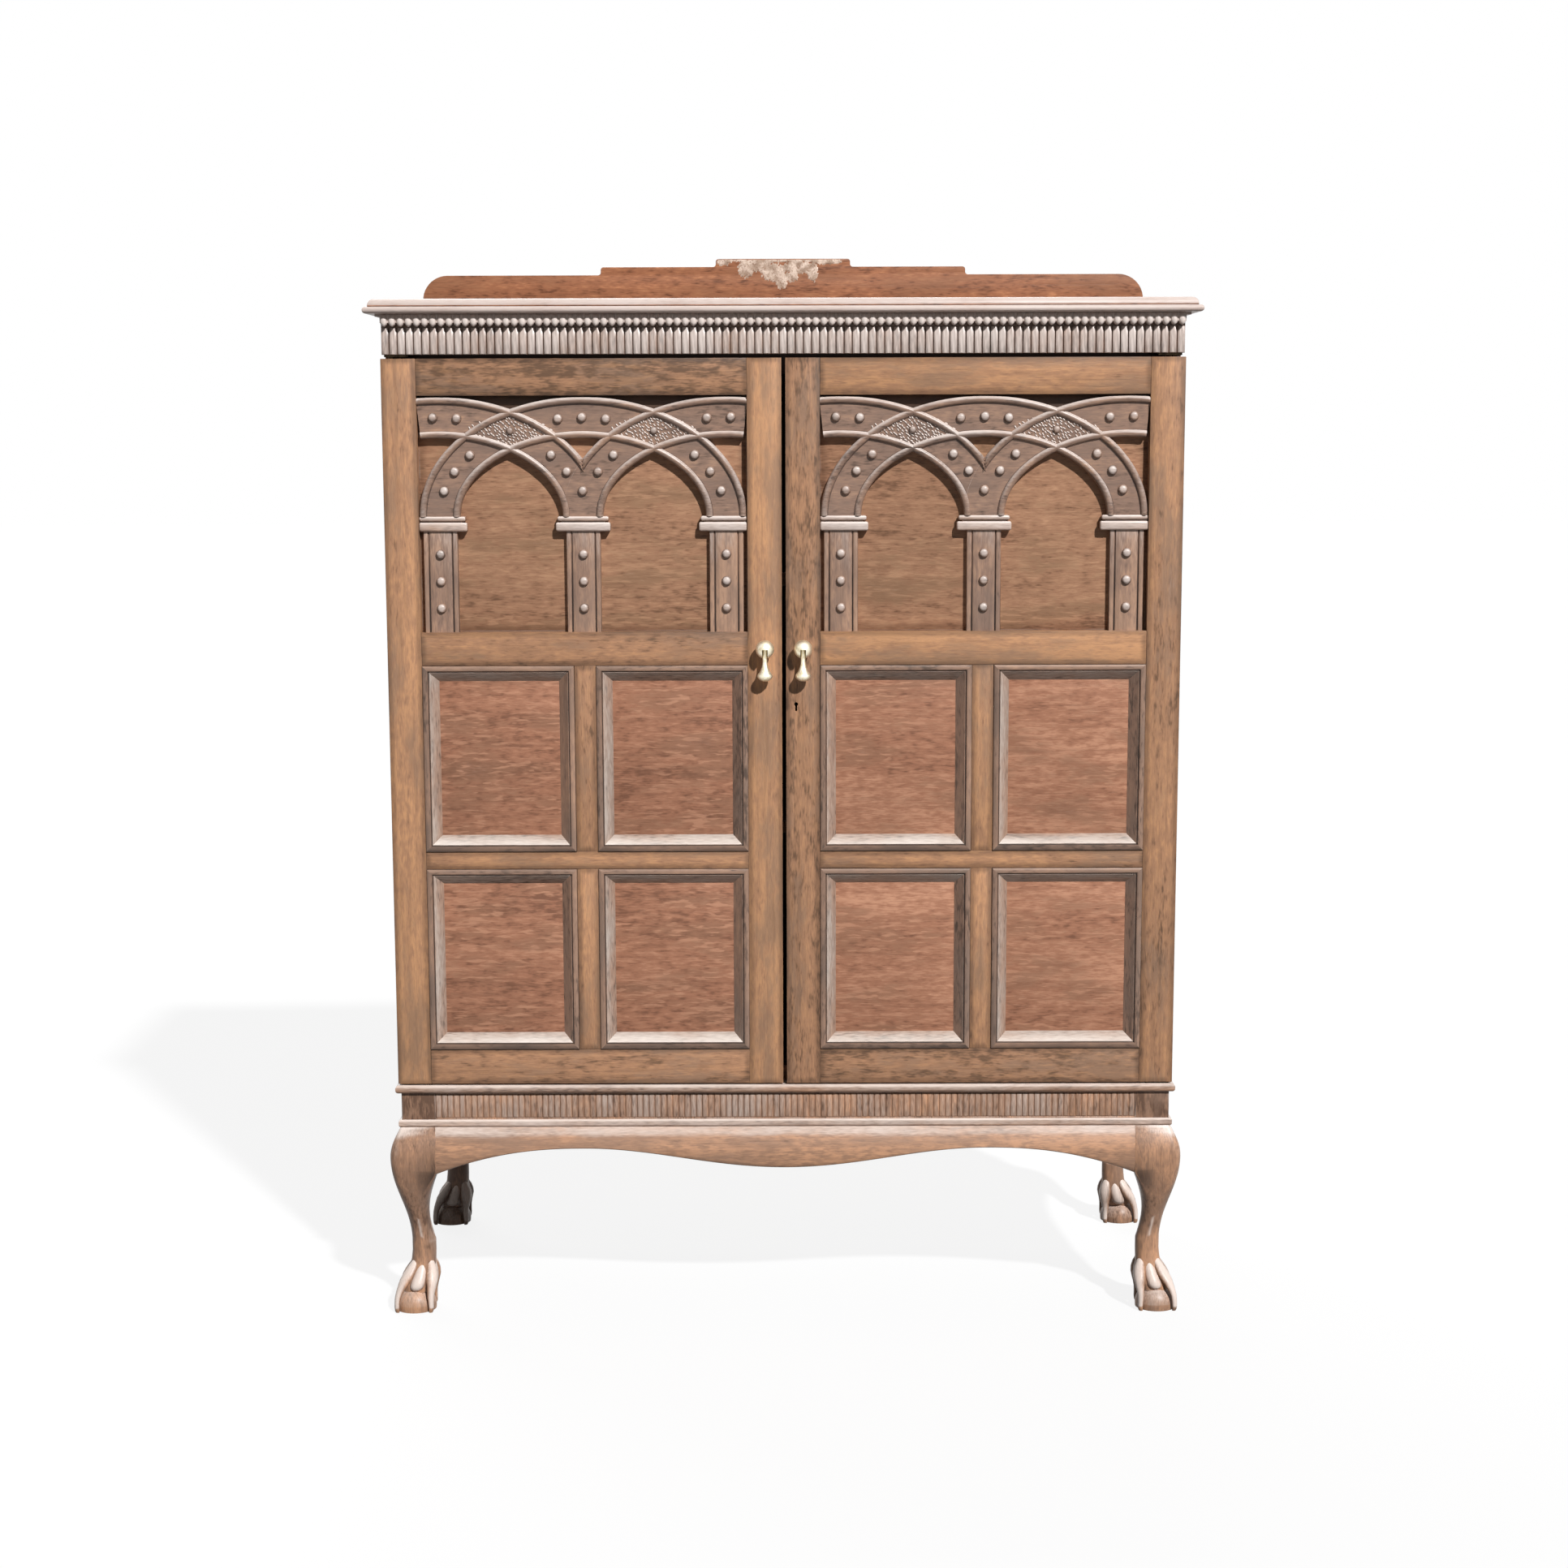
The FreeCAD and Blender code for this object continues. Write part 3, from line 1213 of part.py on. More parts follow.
case_span = ("meet_x", "meet_x + lock_case_width")
case_rise = ("lock_case_low", "lock_case_low + lock_case_height")
right_meeting = box("right_meeting_board", ("meet_x", "window_in"), door_depth, door_rise)
lock_recess = box(
    "lock_recess", ("meet_x - overrun", case_span[1]), ("lock_case_front", "door_back + overrun"), case_rise
)
stile_keyhole = keyhole("stile_keyhole", ("door_front - overrun", "lock_case_front + overrun"))
node(cut("right_meeting_stile", right_meeting, [fuse("lock_space", [lock_recess, stile_keyhole])]))

case_board = box("lock_case_board", case_span, ("lock_case_front", "door_back"), case_rise)
bolt_end = "meet_x + bolt_rest + bolt_length"
bolt_way = box(
    "bolt_way",
    ("meet_x - overrun", f"{bolt_end} + bolt_clearance"),
    eased(bolt_depth, "bolt_clearance"),
    eased(bolt_rise, "bolt_clearance"),
)
case_keyhole = keyhole("case_keyhole", ("lock_case_front - overrun", "door_back + overrun"))
node(cut("lock_case", case_board, [bolt_way, case_keyhole]))
node(box("lock_bolt", ("meet_x + bolt_rest", bolt_end), bolt_depth, bolt_rise))

# Cupboard bolt on the back of the left meeting stile.
bolt_case_span = ("-pull_x - bolt_case_width / 2", "bolt_case_width / 2 - pull_x")
bolt_case_rise = ("bolt_case_top - bolt_case_height", "bolt_case_top")
bolt_case_board = box(
    "bolt_case_board", bolt_case_span, ("door_back", "door_back + bolt_case_depth"), bolt_case_rise
)
rod_way = square_bar(
    "rod_way", "(rod_half + rod_clearance)", "-pull_x", "rod_y", eased(bolt_case_rise, "overrun")
)
knob_space = "(knob_half + rod_clearance)"
knob_way = box(
    "knob_way",
    eased(("-pull_x", "-pull_x"), knob_space),
    ("rod_y", "door_back + bolt_case_depth + overrun"),
    (f"knob_z - {knob_space}", f"knob_z + rod_throw + {knob_space}"),
)
node(cut("left_bolt_case", bolt_case_board, [fuse("bolt_case_space", [rod_way, knob_way])]))
bolt_rod = square_bar("bolt_rod", "rod_half", "-pull_x", "rod_y", ("rod_low", "rod_low + rod_length"))
bolt_knob = box(
    "bolt_knob",
    eased(("-pull_x", "-pull_x"), "knob_half"),
    ("rod_y", "rod_y + knob_reach"),
    eased(("knob_z", "knob_z"), "knob_half"),
)
node(fuse("cupboard_bolt", [bolt_rod, bolt_knob]))

doc.recompute()
faults = [thing.Label for thing in doc.Objects if {"Invalid", "Error"} & set(thing.State)]
faults += [thing.Label for thing in nodes if thing.Shape.isNull() or not thing.Shape.isValid()]
if faults:
    raise RuntimeError(f"not sound: {faults}")

os.makedirs("parts", exist_ok=True)
for thing in nodes:
    thing.Shape.exportStep(f"parts/{thing.Label}.step")
    print(thing.Label, len(thing.Shape.Solids), round(thing.Shape.Volume))
print(len(nodes), "sub-parts")
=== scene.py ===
# %% [markdown]
# # A carved oak cabinet with two doors
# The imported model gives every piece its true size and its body. This lesson gives the pieces their
# looks: oak with grain along each board, old varnish rubbed pale at the arrises, and brass pulls.
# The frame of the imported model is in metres. Sizes are written here in millimetres, as on a maker's
# drawing, and become metres where a point is made.

# %% Load the frame
import contextlib
import math

import bmesh
import bpy
import numpy as np
from mathutils import Matrix, Vector


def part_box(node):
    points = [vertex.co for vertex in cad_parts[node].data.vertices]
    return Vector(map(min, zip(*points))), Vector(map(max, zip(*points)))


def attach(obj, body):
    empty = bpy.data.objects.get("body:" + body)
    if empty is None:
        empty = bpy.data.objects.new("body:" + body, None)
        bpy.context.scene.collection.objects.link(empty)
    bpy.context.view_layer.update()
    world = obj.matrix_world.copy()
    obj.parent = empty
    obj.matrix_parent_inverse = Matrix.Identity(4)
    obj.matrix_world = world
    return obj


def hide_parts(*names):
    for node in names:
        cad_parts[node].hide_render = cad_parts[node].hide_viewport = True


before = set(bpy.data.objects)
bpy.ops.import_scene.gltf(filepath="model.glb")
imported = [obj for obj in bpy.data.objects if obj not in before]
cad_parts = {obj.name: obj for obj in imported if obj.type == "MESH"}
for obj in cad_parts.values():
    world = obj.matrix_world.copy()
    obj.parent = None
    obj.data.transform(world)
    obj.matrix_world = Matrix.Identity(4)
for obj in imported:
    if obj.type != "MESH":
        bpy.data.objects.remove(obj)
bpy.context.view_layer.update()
MM = 0.001
SIDES = ("left", "right")
scene = bpy.context.scene


def mm(x, y, z):
    """A point given in millimetres."""
    return (x * MM, y * MM, z * MM)


def unit(value):
    """A share, held between none and all."""
    return min(1.0, max(0.0, value))


def linked(name, data):
    """A new object in the scene."""
    made = bpy.data.objects.new(name, data)
    scene.collection.objects.link(made)
    return made


# %% [markdown]
# ## Node graphs written as sums
# A finish is easier to read as arithmetic than as a web of nodes. A wire stands for one socket: adding
# or multiplying wires adds Math nodes. Every other node comes from one method, which sets a node's
# settings first and then its sockets. The same class serves materials and Geometry Nodes.

# %% Wires
class Wire:
    """One output socket of a node graph; arithmetic on it adds Math nodes."""

    def __init__(self, graph, socket):
        self.graph = graph
        self.socket = socket

    def beside(self, out):
        """Another output of the same node."""
        return Wire(self.graph, self.socket.node.outputs[out])

    def math(self, operation, *values):
        return self.graph.node("ShaderNodeMath", {"operation": operation}, dict(enumerate(values)))

    def __add__(self, other):
        return self.math("ADD", self, other)

    def __sub__(self, other):
        return self.math("SUBTRACT", self, other)

    def __rsub__(self, other):
        return self.math("SUBTRACT", other, self)

    def __mul__(self, other):
        return self.math("MULTIPLY", self, other)

    def least(self, other):
        return self.math("MINIMUM", self, other)

    def most(self, other):
        return self.math("MAXIMUM", self, other)

    __radd__ = __add__
    __rmul__ = __mul__


# %% Graphs
class Graph:
    """A node tree that is being filled."""

    def __init__(self, tree):
        self.tree = tree
        tree.nodes.clear()

    def node(self, kind, settings=None, sockets=None, out=0):
        made = self.tree.nodes.new(kind)
        for name, value in (settings or {}).items():
            setattr(made, name, value)
        for name, value in (sockets or {}).items():
            if isinstance(value, Wire):
                self.tree.links.new(value.socket, made.inputs[name])
            else:
                made.inputs[name].default_value = value
        return Wire(self, made.outputs[out]) if len(made.outputs) else made

    def named(self, name, out):
        return self.node("ShaderNodeAttribute", {"attribute_name": name}, out=out)

    def noise(self, vector, factors, detail=2.0, distortion=0.0):
        stretched = self.node("ShaderNodeVectorMath", {"operation": "MULTIPLY"}, {0: vector, 1: factors})
        return self.node("ShaderNodeTexNoise", None, {
            "Vector": stretched, "Scale": 1.0, "Detail": detail, "Distortion": distortion,
        })

    def ramp(self, value, start, end, low=0.0, high=1.0):
        """A soft step: low before start, high after end."""
        sockets = dict(enumerate((value, start, end, low, high)))
        return self.node("ShaderNodeMapRange", {"interpolation_type": "SMOOTHSTEP"}, sockets)

    def mix(self, share, one, other):
        """A blend of two colours; their sockets share names with others, so they go by number."""
        return self.node("ShaderNodeMix", {"data_type": "RGBA"}, {0: share, 6: one, 7: other}, out=2)

    def surface(self, colour, roughness, height, strength, depth, more):
        """Close a material with a bump and a Principled shader."""
        sockets = {"Strength": strength, "Distance": depth, "Height": height}
        bump = self.node("ShaderNodeBump", None, sockets)
        sockets = {"Base Color": colour, "Roughness": roughness, "Normal": bump, **more}
        shader = self.node("ShaderNodeBsdfPrincipled", None, sockets)
        self.node("ShaderNodeOutputMaterial", None, {0: shader})


def shown(red, green, blue):
    """A colour as it looks on a screen, from 0 to 255, made linear for the shader."""
    parts = [value / 255 for value in (red, green, blue)]
    return tuple(p / 12.92 if p <= 0.04045 else ((p + 0.055) / 1.055) ** 2.4 for p in parts) + (1.0,)


def new_finish(name):
    material = bpy.data.materials.new(name)
    material.use_nodes = True
    return material, Graph(material.node_tree)


# %% [markdown]
# ## Oak under old varnish
# Oak shows three things at this distance: slow drifts of tone, long rings and fibres along the grain,
# and short dark pores. Panels also show rays, pale flames across the grain. An image could carry them,
# but it would stretch over boards of different sizes, so the pattern is computed from a vector stored
# on each piece, "grain", whose first part runs along the board. Two more vectors, "low" and "high",
# hold the distance to the board's sides. The middle one of the three nearest distances is the distance
# to the nearest arris, which gives rubbed edges without extra faces. Carved pieces store their wear
# instead: above zero on crests, which are rubbed and also given a painted highlight, below zero in
# hollows, which are darkened with dirt and painted shade. The same value carries painted sheen on faces
# that look up, and painted shade in quirks, pockets and gaps.

# %% A wood finish
PATTERNS = {  # scale along and across the grain, detail and distortion
    "drift": (3.5, 12, 2, 0.0), "rings": (2.4, 75, 3, 0.4), "streak": (11, 230, 2, 0.0),
    "mottle": (60, 150, 3, 0.0), "fine": (90, 560, 1, 0.0), "patch": (9, 30, 3, 0.0),
    "fleck": (42, 230, 2, 0.3),
}
ARRIS_BAND = (0.0026, 0.0004)  # metres from an arris where rubbing starts, and where it is full
# A dark colour for dirt, and for painted shade.
DIRT_AND_SHADE = shown(44, 34, 30)


def oak(name, shades, rays=0.0, edge=0.35, margin=None, sheen=0.15):
    """Wood from dark to light, with a cooler shade in clouds and a rubbed one on crests and arrises, which
    also gives the painted highlights and sheen. An edge below zero is dirty instead of rubbed. Where the wear
    is below zero the wood darkens with dirt and painted shade. A margin is the width and the share of
    darkening beside a board's edges."""
    material, g = new_finish(name)
    dark, middle, light, cool, rubbed_and_lit = (shown(*shade) for shade in shades)
    grain = g.named("grain", "Vector")
    tone, worn = g.named("tone", "Fac"), g.named("worn", "Fac")
    sides = {0: g.named("low", "Vector"), 1: g.named("high", "Vector")}
    nearest = g.node("ShaderNodeVectorMath", {"operation": "MINIMUM"}, sides)
    side = g.node("ShaderNodeSeparateXYZ", None, {0: nearest})
    depth, rise = side.beside(1), side.beside(2)
    arris = side.least(depth).most(side.most(depth).least(rise))

    def pattern(name):
        along, across, detail, distortion = PATTERNS[name]
        return g.noise(grain, (along, across, across), detail, distortion)

    drift, rings, streak = pattern("drift"), pattern("rings"), pattern("streak")
    mottle, fine, patch = pattern("mottle"), pattern("fine"), pattern("patch")
    pores = g.ramp(streak + 0.6 * (fine - 0.5), 0.54, 0.76)

    level = 0.5 * drift + 0.45 * rings + 0.7 * mottle + 0.5 * fine - 0.175 + 0.22 * tone
    colour = g.mix(g.ramp(level, 0.62, 0.92), dark, middle)
    colour = g.mix(g.ramp(level, 0.88, 1.22), colour, light)
    colour = g.mix(g.ramp(0.7 * patch + 0.3 * mottle, 0.47, 0.62) * 0.6, colour, cool)
    if rays:
        fleck = g.ramp(pattern("fleck"), 0.52, 0.66)
        colour = g.mix(fleck * g.ramp(patch, 0.3, 0.6, 0.3, 1.0) * rays, colour, light)
    colour = g.mix(pores * 0.3, colour, dark)
    stain = g.ramp(drift * 0.4 + patch * 0.6, 0.54, 0.70)
    colour = g.mix(stain * 0.18, colour, dark)

    edges = g.ramp(arris, *ARRIS_BAND) * g.ramp(patch, 0.36, 0.58)
    # Paler where the wear is above zero: rubbing, together with painted highlights and sheen.
    bare_and_lit = g.ramp(worn + 0.6 * (patch - 0.5) + 0.3 * (fine - 0.5), 0.1, 0.9)
    # Darker where the wear is below zero: dirt, together with painted shade in hollows, quirks and pockets.
    dirt_and_shade = g.ramp(0.0 - worn + 0.3 * (patch - 0.5), 0.1, 0.8) * 0.9
    if edge > 0:
        bare_and_lit = bare_and_lit.most(edge * edges)
    else:
        dirt_and_shade = dirt_and_shade.most(-edge * edges)
    # A margin darkens the wood beside a board's edges: painted shade beside the sunk panels' mouldings and in
    # the arcade's pockets.
    if margin:
        width, share = margin
        beside = g.ramp(arris + 0.5 * width * (patch - 0.5), width, 0.2 * width)
        dirt_and_shade = dirt_and_shade.most(beside * share)
    colour = g.mix(dirt_and_shade, g.mix(bare_and_lit, colour, rubbed_and_lit), DIRT_AND_SHADE)

    height = fine * 0.5 + (1 - pores) * 0.5 + rings * 0.3
    gloss = 0.42 + 0.16 * (fine - 0.5) + 0.12 * stain - 0.08 * bare_and_lit
    varnish = {"Specular IOR Level": 0.1, "Coat Weight": sheen, "Coat Roughness": 0.36}
    g.surface(colour, gloss, height, 0.4, 0.0006, varnish)
    return material


# %% Oaks of this cabinet
# The rubbed colour also gives the painted highlights and sheen.
RUBBED_AND_LIT = (214, 198, 188)
# On the panels and the arcade's back the margin is painted shade by the mouldings and in the pockets; on the
# door's boards it darkens their edges.
OAKS = {  # dark, middle, light, cool and rubbed shades, and what sets the wood apart
    "case": (((100, 64, 46), (152, 102, 74), (190, 133, 96), (136, 95, 70), (212, 196, 188)), {}),
    "door": (
        ((110, 84, 66), (170, 128, 99), (202, 152, 112), (140, 114, 96), RUBBED_AND_LIT),
        {"rays": 0.3, "edge": -0.6, "margin": (0.009, 0.4)},
    ),
    "panel": (
        ((122, 84, 66), (161, 113, 89), (194, 144, 116), (144, 106, 84), RUBBED_AND_LIT),
        {"rays": 0.6, "margin": (0.022, 0.4)},
    ),
    "carved": (
        ((86, 68, 58), (141, 113, 97), (176, 140, 116), (118, 98, 88), (228, 214, 206)), {"sheen": 0.7},
    ),
    "base": (
        ((96, 72, 58), (150, 116, 94), (190, 144, 112), (134, 108, 92), (222, 206, 196)), {"sheen": 0.3},
    ),
    "arcade_panel": (
        ((118, 86, 66), (166, 124, 97), (194, 150, 118), (146, 114, 88), RUBBED_AND_LIT),
        {"rays": 0.5, "margin": (0.014, 0.4)},
    ),
    "moulding": (
        ((88, 72, 62), (152, 122, 104), (176, 140, 116), (124, 106, 95), (224, 214, 205)), {"sheen": 0.5},
    ),
}
OAK = {name: oak(f"{name}_oak", shades, **more) for name, (shades, more) in OAKS.items()}
FINISHES = {f"{name}_wood": OAK[name] for name in ("case", "door", "panel", "carved", "base")}
print("oaks:", sorted(OAK))

# %% [markdown]
# ## Brass and steel
# The pulls are pale, handled brass: bright on the crests, browner where hands and polish don't reach.
# A metal takes its colour from the base colour, and its roughness varies with the tarnish.

# %% Metal finishes
OLD_POLISH = shown(74, 58, 40)


def metal(name, bright, dull, rough):
    material, g = new_finish(name)
    dirt_and_shade = g.ramp(0.0 - g.named("worn", "Fac"), 0.1, 0.9)
    place = g.node("ShaderNodeTexCoord", out="Object")
    cloud = g.noise(place, (160, 160, 160), 4)
    fine = g.noise(place, (900, 900, 900), 2)
    tarnish = g.ramp(cloud + 0.3 * (fine - 0.5), 0.42, 0.72)
    colour = g.mix(dirt_and_shade, g.mix(tarnish, shown(*bright), shown(*dull)), OLD_POLISH)
    g.surface(colour, rough + 0.22 * tarnish, fine, 0.15, 0.0003, {"Metallic": 1.0})
    return material


FINISHES["brass"] = metal("brass", (248, 241, 219), (213, 199, 167), 0.42)
# Painted nearly black: the pivots' brass stands for the shade in the gaps where they sit.
SHADED_BRASS = metal("dark_brass", (58, 48, 36), (36, 30, 26), 0.5)
FINISHES["steel"] = metal("bolt_steel", (176, 172, 166), (120, 110, 100), 0.34)
print("slots with a finish:", sorted(FINISHES))

# %% [markdown]
# ## From a mesh to a finished piece
# Each finished piece gets its grain and its wear, with painted light and shade in the wear, as attributes,
# one material, the body that it rides on and the imported nodes that it stands for. Solids that share a node
# are found by following their edges, so that each board has its own grain. On carved surfaces the wear
# follows
# the curvature: where neighbours lie below a point's tangent plane the point is a crest, rubbed and given a
# painted highlight; in a hollow it is darkened with dirt and painted shade.

# %% Reading a mesh
def rows_of(items, field, kind=np.float32, wide=3):
    """One field of all items of a mesh, a row for each."""
    found = np.empty(len(items) * wide, kind)
    items.foreach_get(field, found)
    return found.reshape(-1, wide)


def solids_of(count, edges):
    """The lowest vertex number that each vertex is joined to."""
    label = np.arange(count)
    while True:
        low = np.minimum(label[edges[:, 0]], label[edges[:, 1]])
        new = label.copy()
        np.minimum.at(new, edges[:, 0], low)
        np.minimum.at(new, edges[:, 1], low)
        new = new[new]
        if (new == label).all():
            return label
        label = new


def curvature(mesh, spots, edges):
    """How far a surface bends away from each vertex, one over the radius."""
    normals = rows_of(mesh.vertex_normals, "vector")
    total = np.zeros(len(spots))
    count = np.zeros(len(spots))
    for here, there in ((0, 1), (1, 0)):
        way = spots[edges[:, there]] - spots[edges[:, here]]
        length = np.maximum(np.linalg.norm(way, axis=1), 1e-7)
        bend = -2 * (way * normals[edges[:, here]]).sum(1) / length ** 2
        np.add.at(total, edges[:, here], bend)
        np.add.at(count, edges[:, here], 1)
    return total / np.maximum(count, 1)


# %% Grain and wear
TURNS = {"x": (0, 1, 2), "y": (1, 2, 0), "z": (2, 0, 1)}
WEAR_RADIUS = 3.5 * MM


def put(mesh, name, kind, values):
    field = mesh.attributes.new(name, kind, "POINT")
    part = "vector" if kind == "FLOAT_VECTOR" else "value"
    field.data.foreach_set(part, np.ravel(values).astype(np.float32))


def mark(mesh, grain=None, carved=False, worn=None, whole=False, tone=0.0, stain=0.0, painted_top_light=0.0, rub_and_sheen=1.0):
    """Store grain, arris distances, wear and tone on a mesh; the wear also carries painted light and shade.
    Wear follows the curvature unless it is given, as a number or from the vertices, and its pale crests,
    rubbing with a painted highlight, can be scaled. A stain is added, and painted light: sheen on faces that
    look up, shade on faces that look down."""
    count = len(mesh.vertices)
    spots = rows_of(mesh.vertices, "co")
    edges = rows_of(mesh.edges, "vertices", np.int32, 2)
    label = np.zeros(count, int) if whole else solids_of(count, edges)
    carved = np.zeros(count, bool) | carved
    along, low, high = (np.empty_like(spots) for field in range(3))
    random = np.random.default_rng(sum(map(ord, mesh.name)))
    for solid in np.unique(label):
        here = label == solid
        lo, hi = spots[here].min(0), spots[here].max(0)
        axis = grain or "xyz"[int(np.argmax(hi - lo))]
        along[here] = spots[here][:, TURNS[axis]] + random.uniform(-3, 3, 3)
        low[here] = spots[here] - lo
        high[here] = hi - spots[here]
    low[carved] = 1.0
    high[carved] = 1.0
    if worn is None:
        worn = np.where(carved, np.clip(curvature(mesh, spots, edges) * WEAR_RADIUS, -1, 1), 0.0)
        worn = np.where(worn > 0, rub_and_sheen * worn, worn)
    elif callable(worn):
        worn = worn(spots)
    worn = worn + stain
    # Painted light from above: faces that look up are paler, as sheen, and faces that look down darker, as
    # shade.
    if painted_top_light:
        worn = worn + painted_top_light * np.clip(rows_of(mesh.vertex_normals, "vector")[:, 2], -0.3, 1)
    for name, values in (("grain", along), ("low", low), ("high", high)):
        put(mesh, name, "FLOAT_VECTOR", values)
    put(mesh, "worn", "FLOAT", np.zeros(count) + worn)
    put(mesh, "tone", "FLOAT", np.zeros(count) + tone)


# %% A finished piece
def finish(name, mesh, slot, body, nodes, material=None):
    """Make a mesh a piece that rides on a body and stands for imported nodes."""
    mesh.materials.clear()
    mesh.materials.append(material or FINISHES[slot])
    piece = linked(name, mesh)
    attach(piece, body)
    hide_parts(*nodes)
    return piece


def smooth(mesh, angle):
    mesh.polygons.foreach_set("use_smooth", np.ones(len(mesh.polygons), bool))
    mesh.set_sharp_from_angle(angle=math.radians(angle))


# %% [markdown]
# ## Boards
# Stiles, rails, shelves and panels are right as they were packed, down to the lock's mortise. A copy of
# each is merged, its flat triangles are dissolved into whole faces, and its sharp edges are bevelled by
# less than a millimetre, as sandpaper leaves them: a sharp edge never catches the light.

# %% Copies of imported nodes
MERGED, FLAT, SHARP, BOARD_SHADE = 1e-5, 0.5, 28, 32  # metres, then degrees
BOARD_ARRIS, GALLERY_ARRIS, TOP_ARRIS, METAL_ARRIS = 0.8, 0.6, 0.5, 0.25


def merged(node):
    """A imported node's loose triangles, joined where they meet."""
    bm = bmesh.new()
    bm.from_mesh(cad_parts[node].data)
    bmesh.ops.remove_doubles(bm, verts=bm.verts, dist=MERGED)
    return bm


def copied(node, arris):
    """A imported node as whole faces, with its sharp edges bevelled."""
    bm = merged(node)
    bmesh.ops.dissolve_limit(bm, angle_limit=math.radians(FLAT), verts=bm.verts, edges=bm.edges)
    if arris:
        pairs = [edge for edge in bm.edges if len(edge.link_faces) == 2]
        sharp = [edge for edge in pairs if edge.calc_face_angle() > math.radians(SHARP)]
        bmesh.ops.bevel(
            bm, geom=sharp, offset=arris * MM, segments=2, profile=0.5, affect="EDGES", clamp_overlap=True
        )
    mesh = bpy.data.meshes.new(f"{node}_finished")
    bm.to_mesh(mesh)
    bm.free()
    if "custom_normal" in mesh.attributes:
        mesh.attributes.remove(mesh.attributes["custom_normal"])
    smooth(mesh, BOARD_SHADE)
    return mesh


def boards(slot, body, nodes, grain=None, arris=BOARD_ARRIS, tones=None, painted_top_light=0.0, stain=0.0):
    for node in nodes:
        mesh = copied(node, arris)
        mark(mesh, grain, tone=(tones or {}).get(node, 0.0), painted_top_light=painted_top_light, stain=stain)
        finish(f"{node}_finished", mesh, slot, body, [node])
    print(slot, "boards on", body + ":", len(nodes))


# %% The case
boards("case_wood", "cabinet", [
    "left_side", "right_side", "carcass_bottom", "carcass_top", "lower_shelf", "upper_shelf", "shelf_cleats",
])
# The front rail is painted dark: painted shade in the gap above the doors.
boards("case_wood", "cabinet", ["front_top_rail"], stain=-1.0)
boards("case_wood", "cabinet", ["gallery"], "x", GALLERY_ARRIS, {"gallery": 0.05})
boards("panel_wood", "cabinet", ["back_panel"], "z")
boards("base_wood", "cabinet", ["base_side_rails", "base_back_rail"])
# The base mouldings are painted pale: sheen on their faces that look up, and more painted light added evenly.
boards("base_wood", "cabinet", ["base_top_moulding"], painted_top_light=0.4, stain=0.32)
boards("base_wood", "cabinet", ["waist_moulding"], painted_top_light=0.4, stain=0.5)

# %% The top board
QUIRK_Z, QUIRK_HALF, QUIRK_FRONT, QUIRK_REACH = 1316.0, 0.8, -226.8, 524.6
TOP_Z, TOP_FRONT, TOP_REACH, RIM = 1325.0, -214.0, 512.0, 14.0


@contextlib.contextmanager
def edited(mesh):
    """A mesh opened for editing, and written back."""
    bm = bmesh.new()
    bm.from_mesh(mesh)
    yield bm
    bm.to_mesh(mesh)
    bm.free()


def top_edge_light_and_shade(spots):
    """The top's edge is painted pale all round, rubbing with painted light even on its shaded underside, and
    dark in the quirk between its round and its upper step, as painted shade.
    """
    x, y, z = (spots / MM).T
    quirk = (abs(z - QUIRK_Z) < QUIRK_HALF) & (y > QUIRK_FRONT) & (abs(x) < QUIRK_REACH)
    middle = (z > TOP_Z) & (y > TOP_FRONT) & (abs(x) < TOP_REACH)
    return np.where(quirk, -0.7, np.where(middle, 0.1, 0.75))


mesh = copied("top_board", TOP_ARRIS)
with edited(mesh) as bm:
    upward = [face for face in bm.faces if face.normal.z > 0.99]
    surface = max(upward, key=lambda face: face.calc_area())
    bmesh.ops.inset_individual(bm, faces=[surface], thickness=RIM * MM)
# A faint painted sheen on the faces that look up.
mark(mesh, "x", worn=top_edge_light_and_shade, painted_top_light=0.05)
finish("top_board_finished", mesh, "case_wood", "cabinet", ["top_board"])
print("top board faces:", len(mesh.polygons))

# %% The doors' boards
DOOR_TONES = {  # of the left and the right door; the panels come last
    "hinge_stile": (0.7, 0.2), "meeting_stile": (0.8, -0.3), "top_rail": (-0.8, 0.7), "lock_rail": (0.0, 0.9),
    "bottom_rail": (0.2, -0.6), "panel_dividers": (0.5, 0.5), "flat_panels": (-0.3, 0.2),
}
RAIL_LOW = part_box("left_top_rail")[0].z / MM
POCKET_LOW, POCKET_TOP = RAIL_LOW - 60, RAIL_LOW - 24


def rail_shadow(spots):
    """Painted shadow of the top rail on the arcade's back, in the pockets above the arches."""
    return np.interp(spots[:, 2] / MM, [POCKET_LOW, POCKET_TOP], [0.0, -0.9])


for place, side in enumerate(SIDES):
    door = f"{side}_door"
    tones = {f"{side}_{name}": pair[place] for name, pair in DOOR_TONES.items()}
    *rails, panels = tones
    boards("door_wood", door, rails, tones=tones)
    boards("panel_wood", door, [panels], "x", tones=tones)
    node = f"{side}_arcade_panel"
    mesh = copied(node, BOARD_ARRIS)
    with edited(mesh) as bm:
        # The back is cut where the painted shadow begins and where it is full.
        for height in (POCKET_LOW, POCKET_TOP):
            parts = bm.verts[:] + bm.edges[:] + bm.faces[:]
            bmesh.ops.bisect_plane(bm, geom=parts, plane_co=(0, 0, height * MM), plane_no=(0, 0, 1))
    mark(mesh, "x", worn=rail_shadow)
    finish(f"{node}_finished", mesh, "panel_wood", door, [node], OAK["arcade_panel"])

# %% [markdown]
# ## Swept and stacked forms
# Mouldings, arches, legs and pulls are all the same kind of form: a closed ring of points, moved along
# a path while it changes size. A small collector stacks rings into a skin with closed ends, and turns
# the faces outwards at the end.

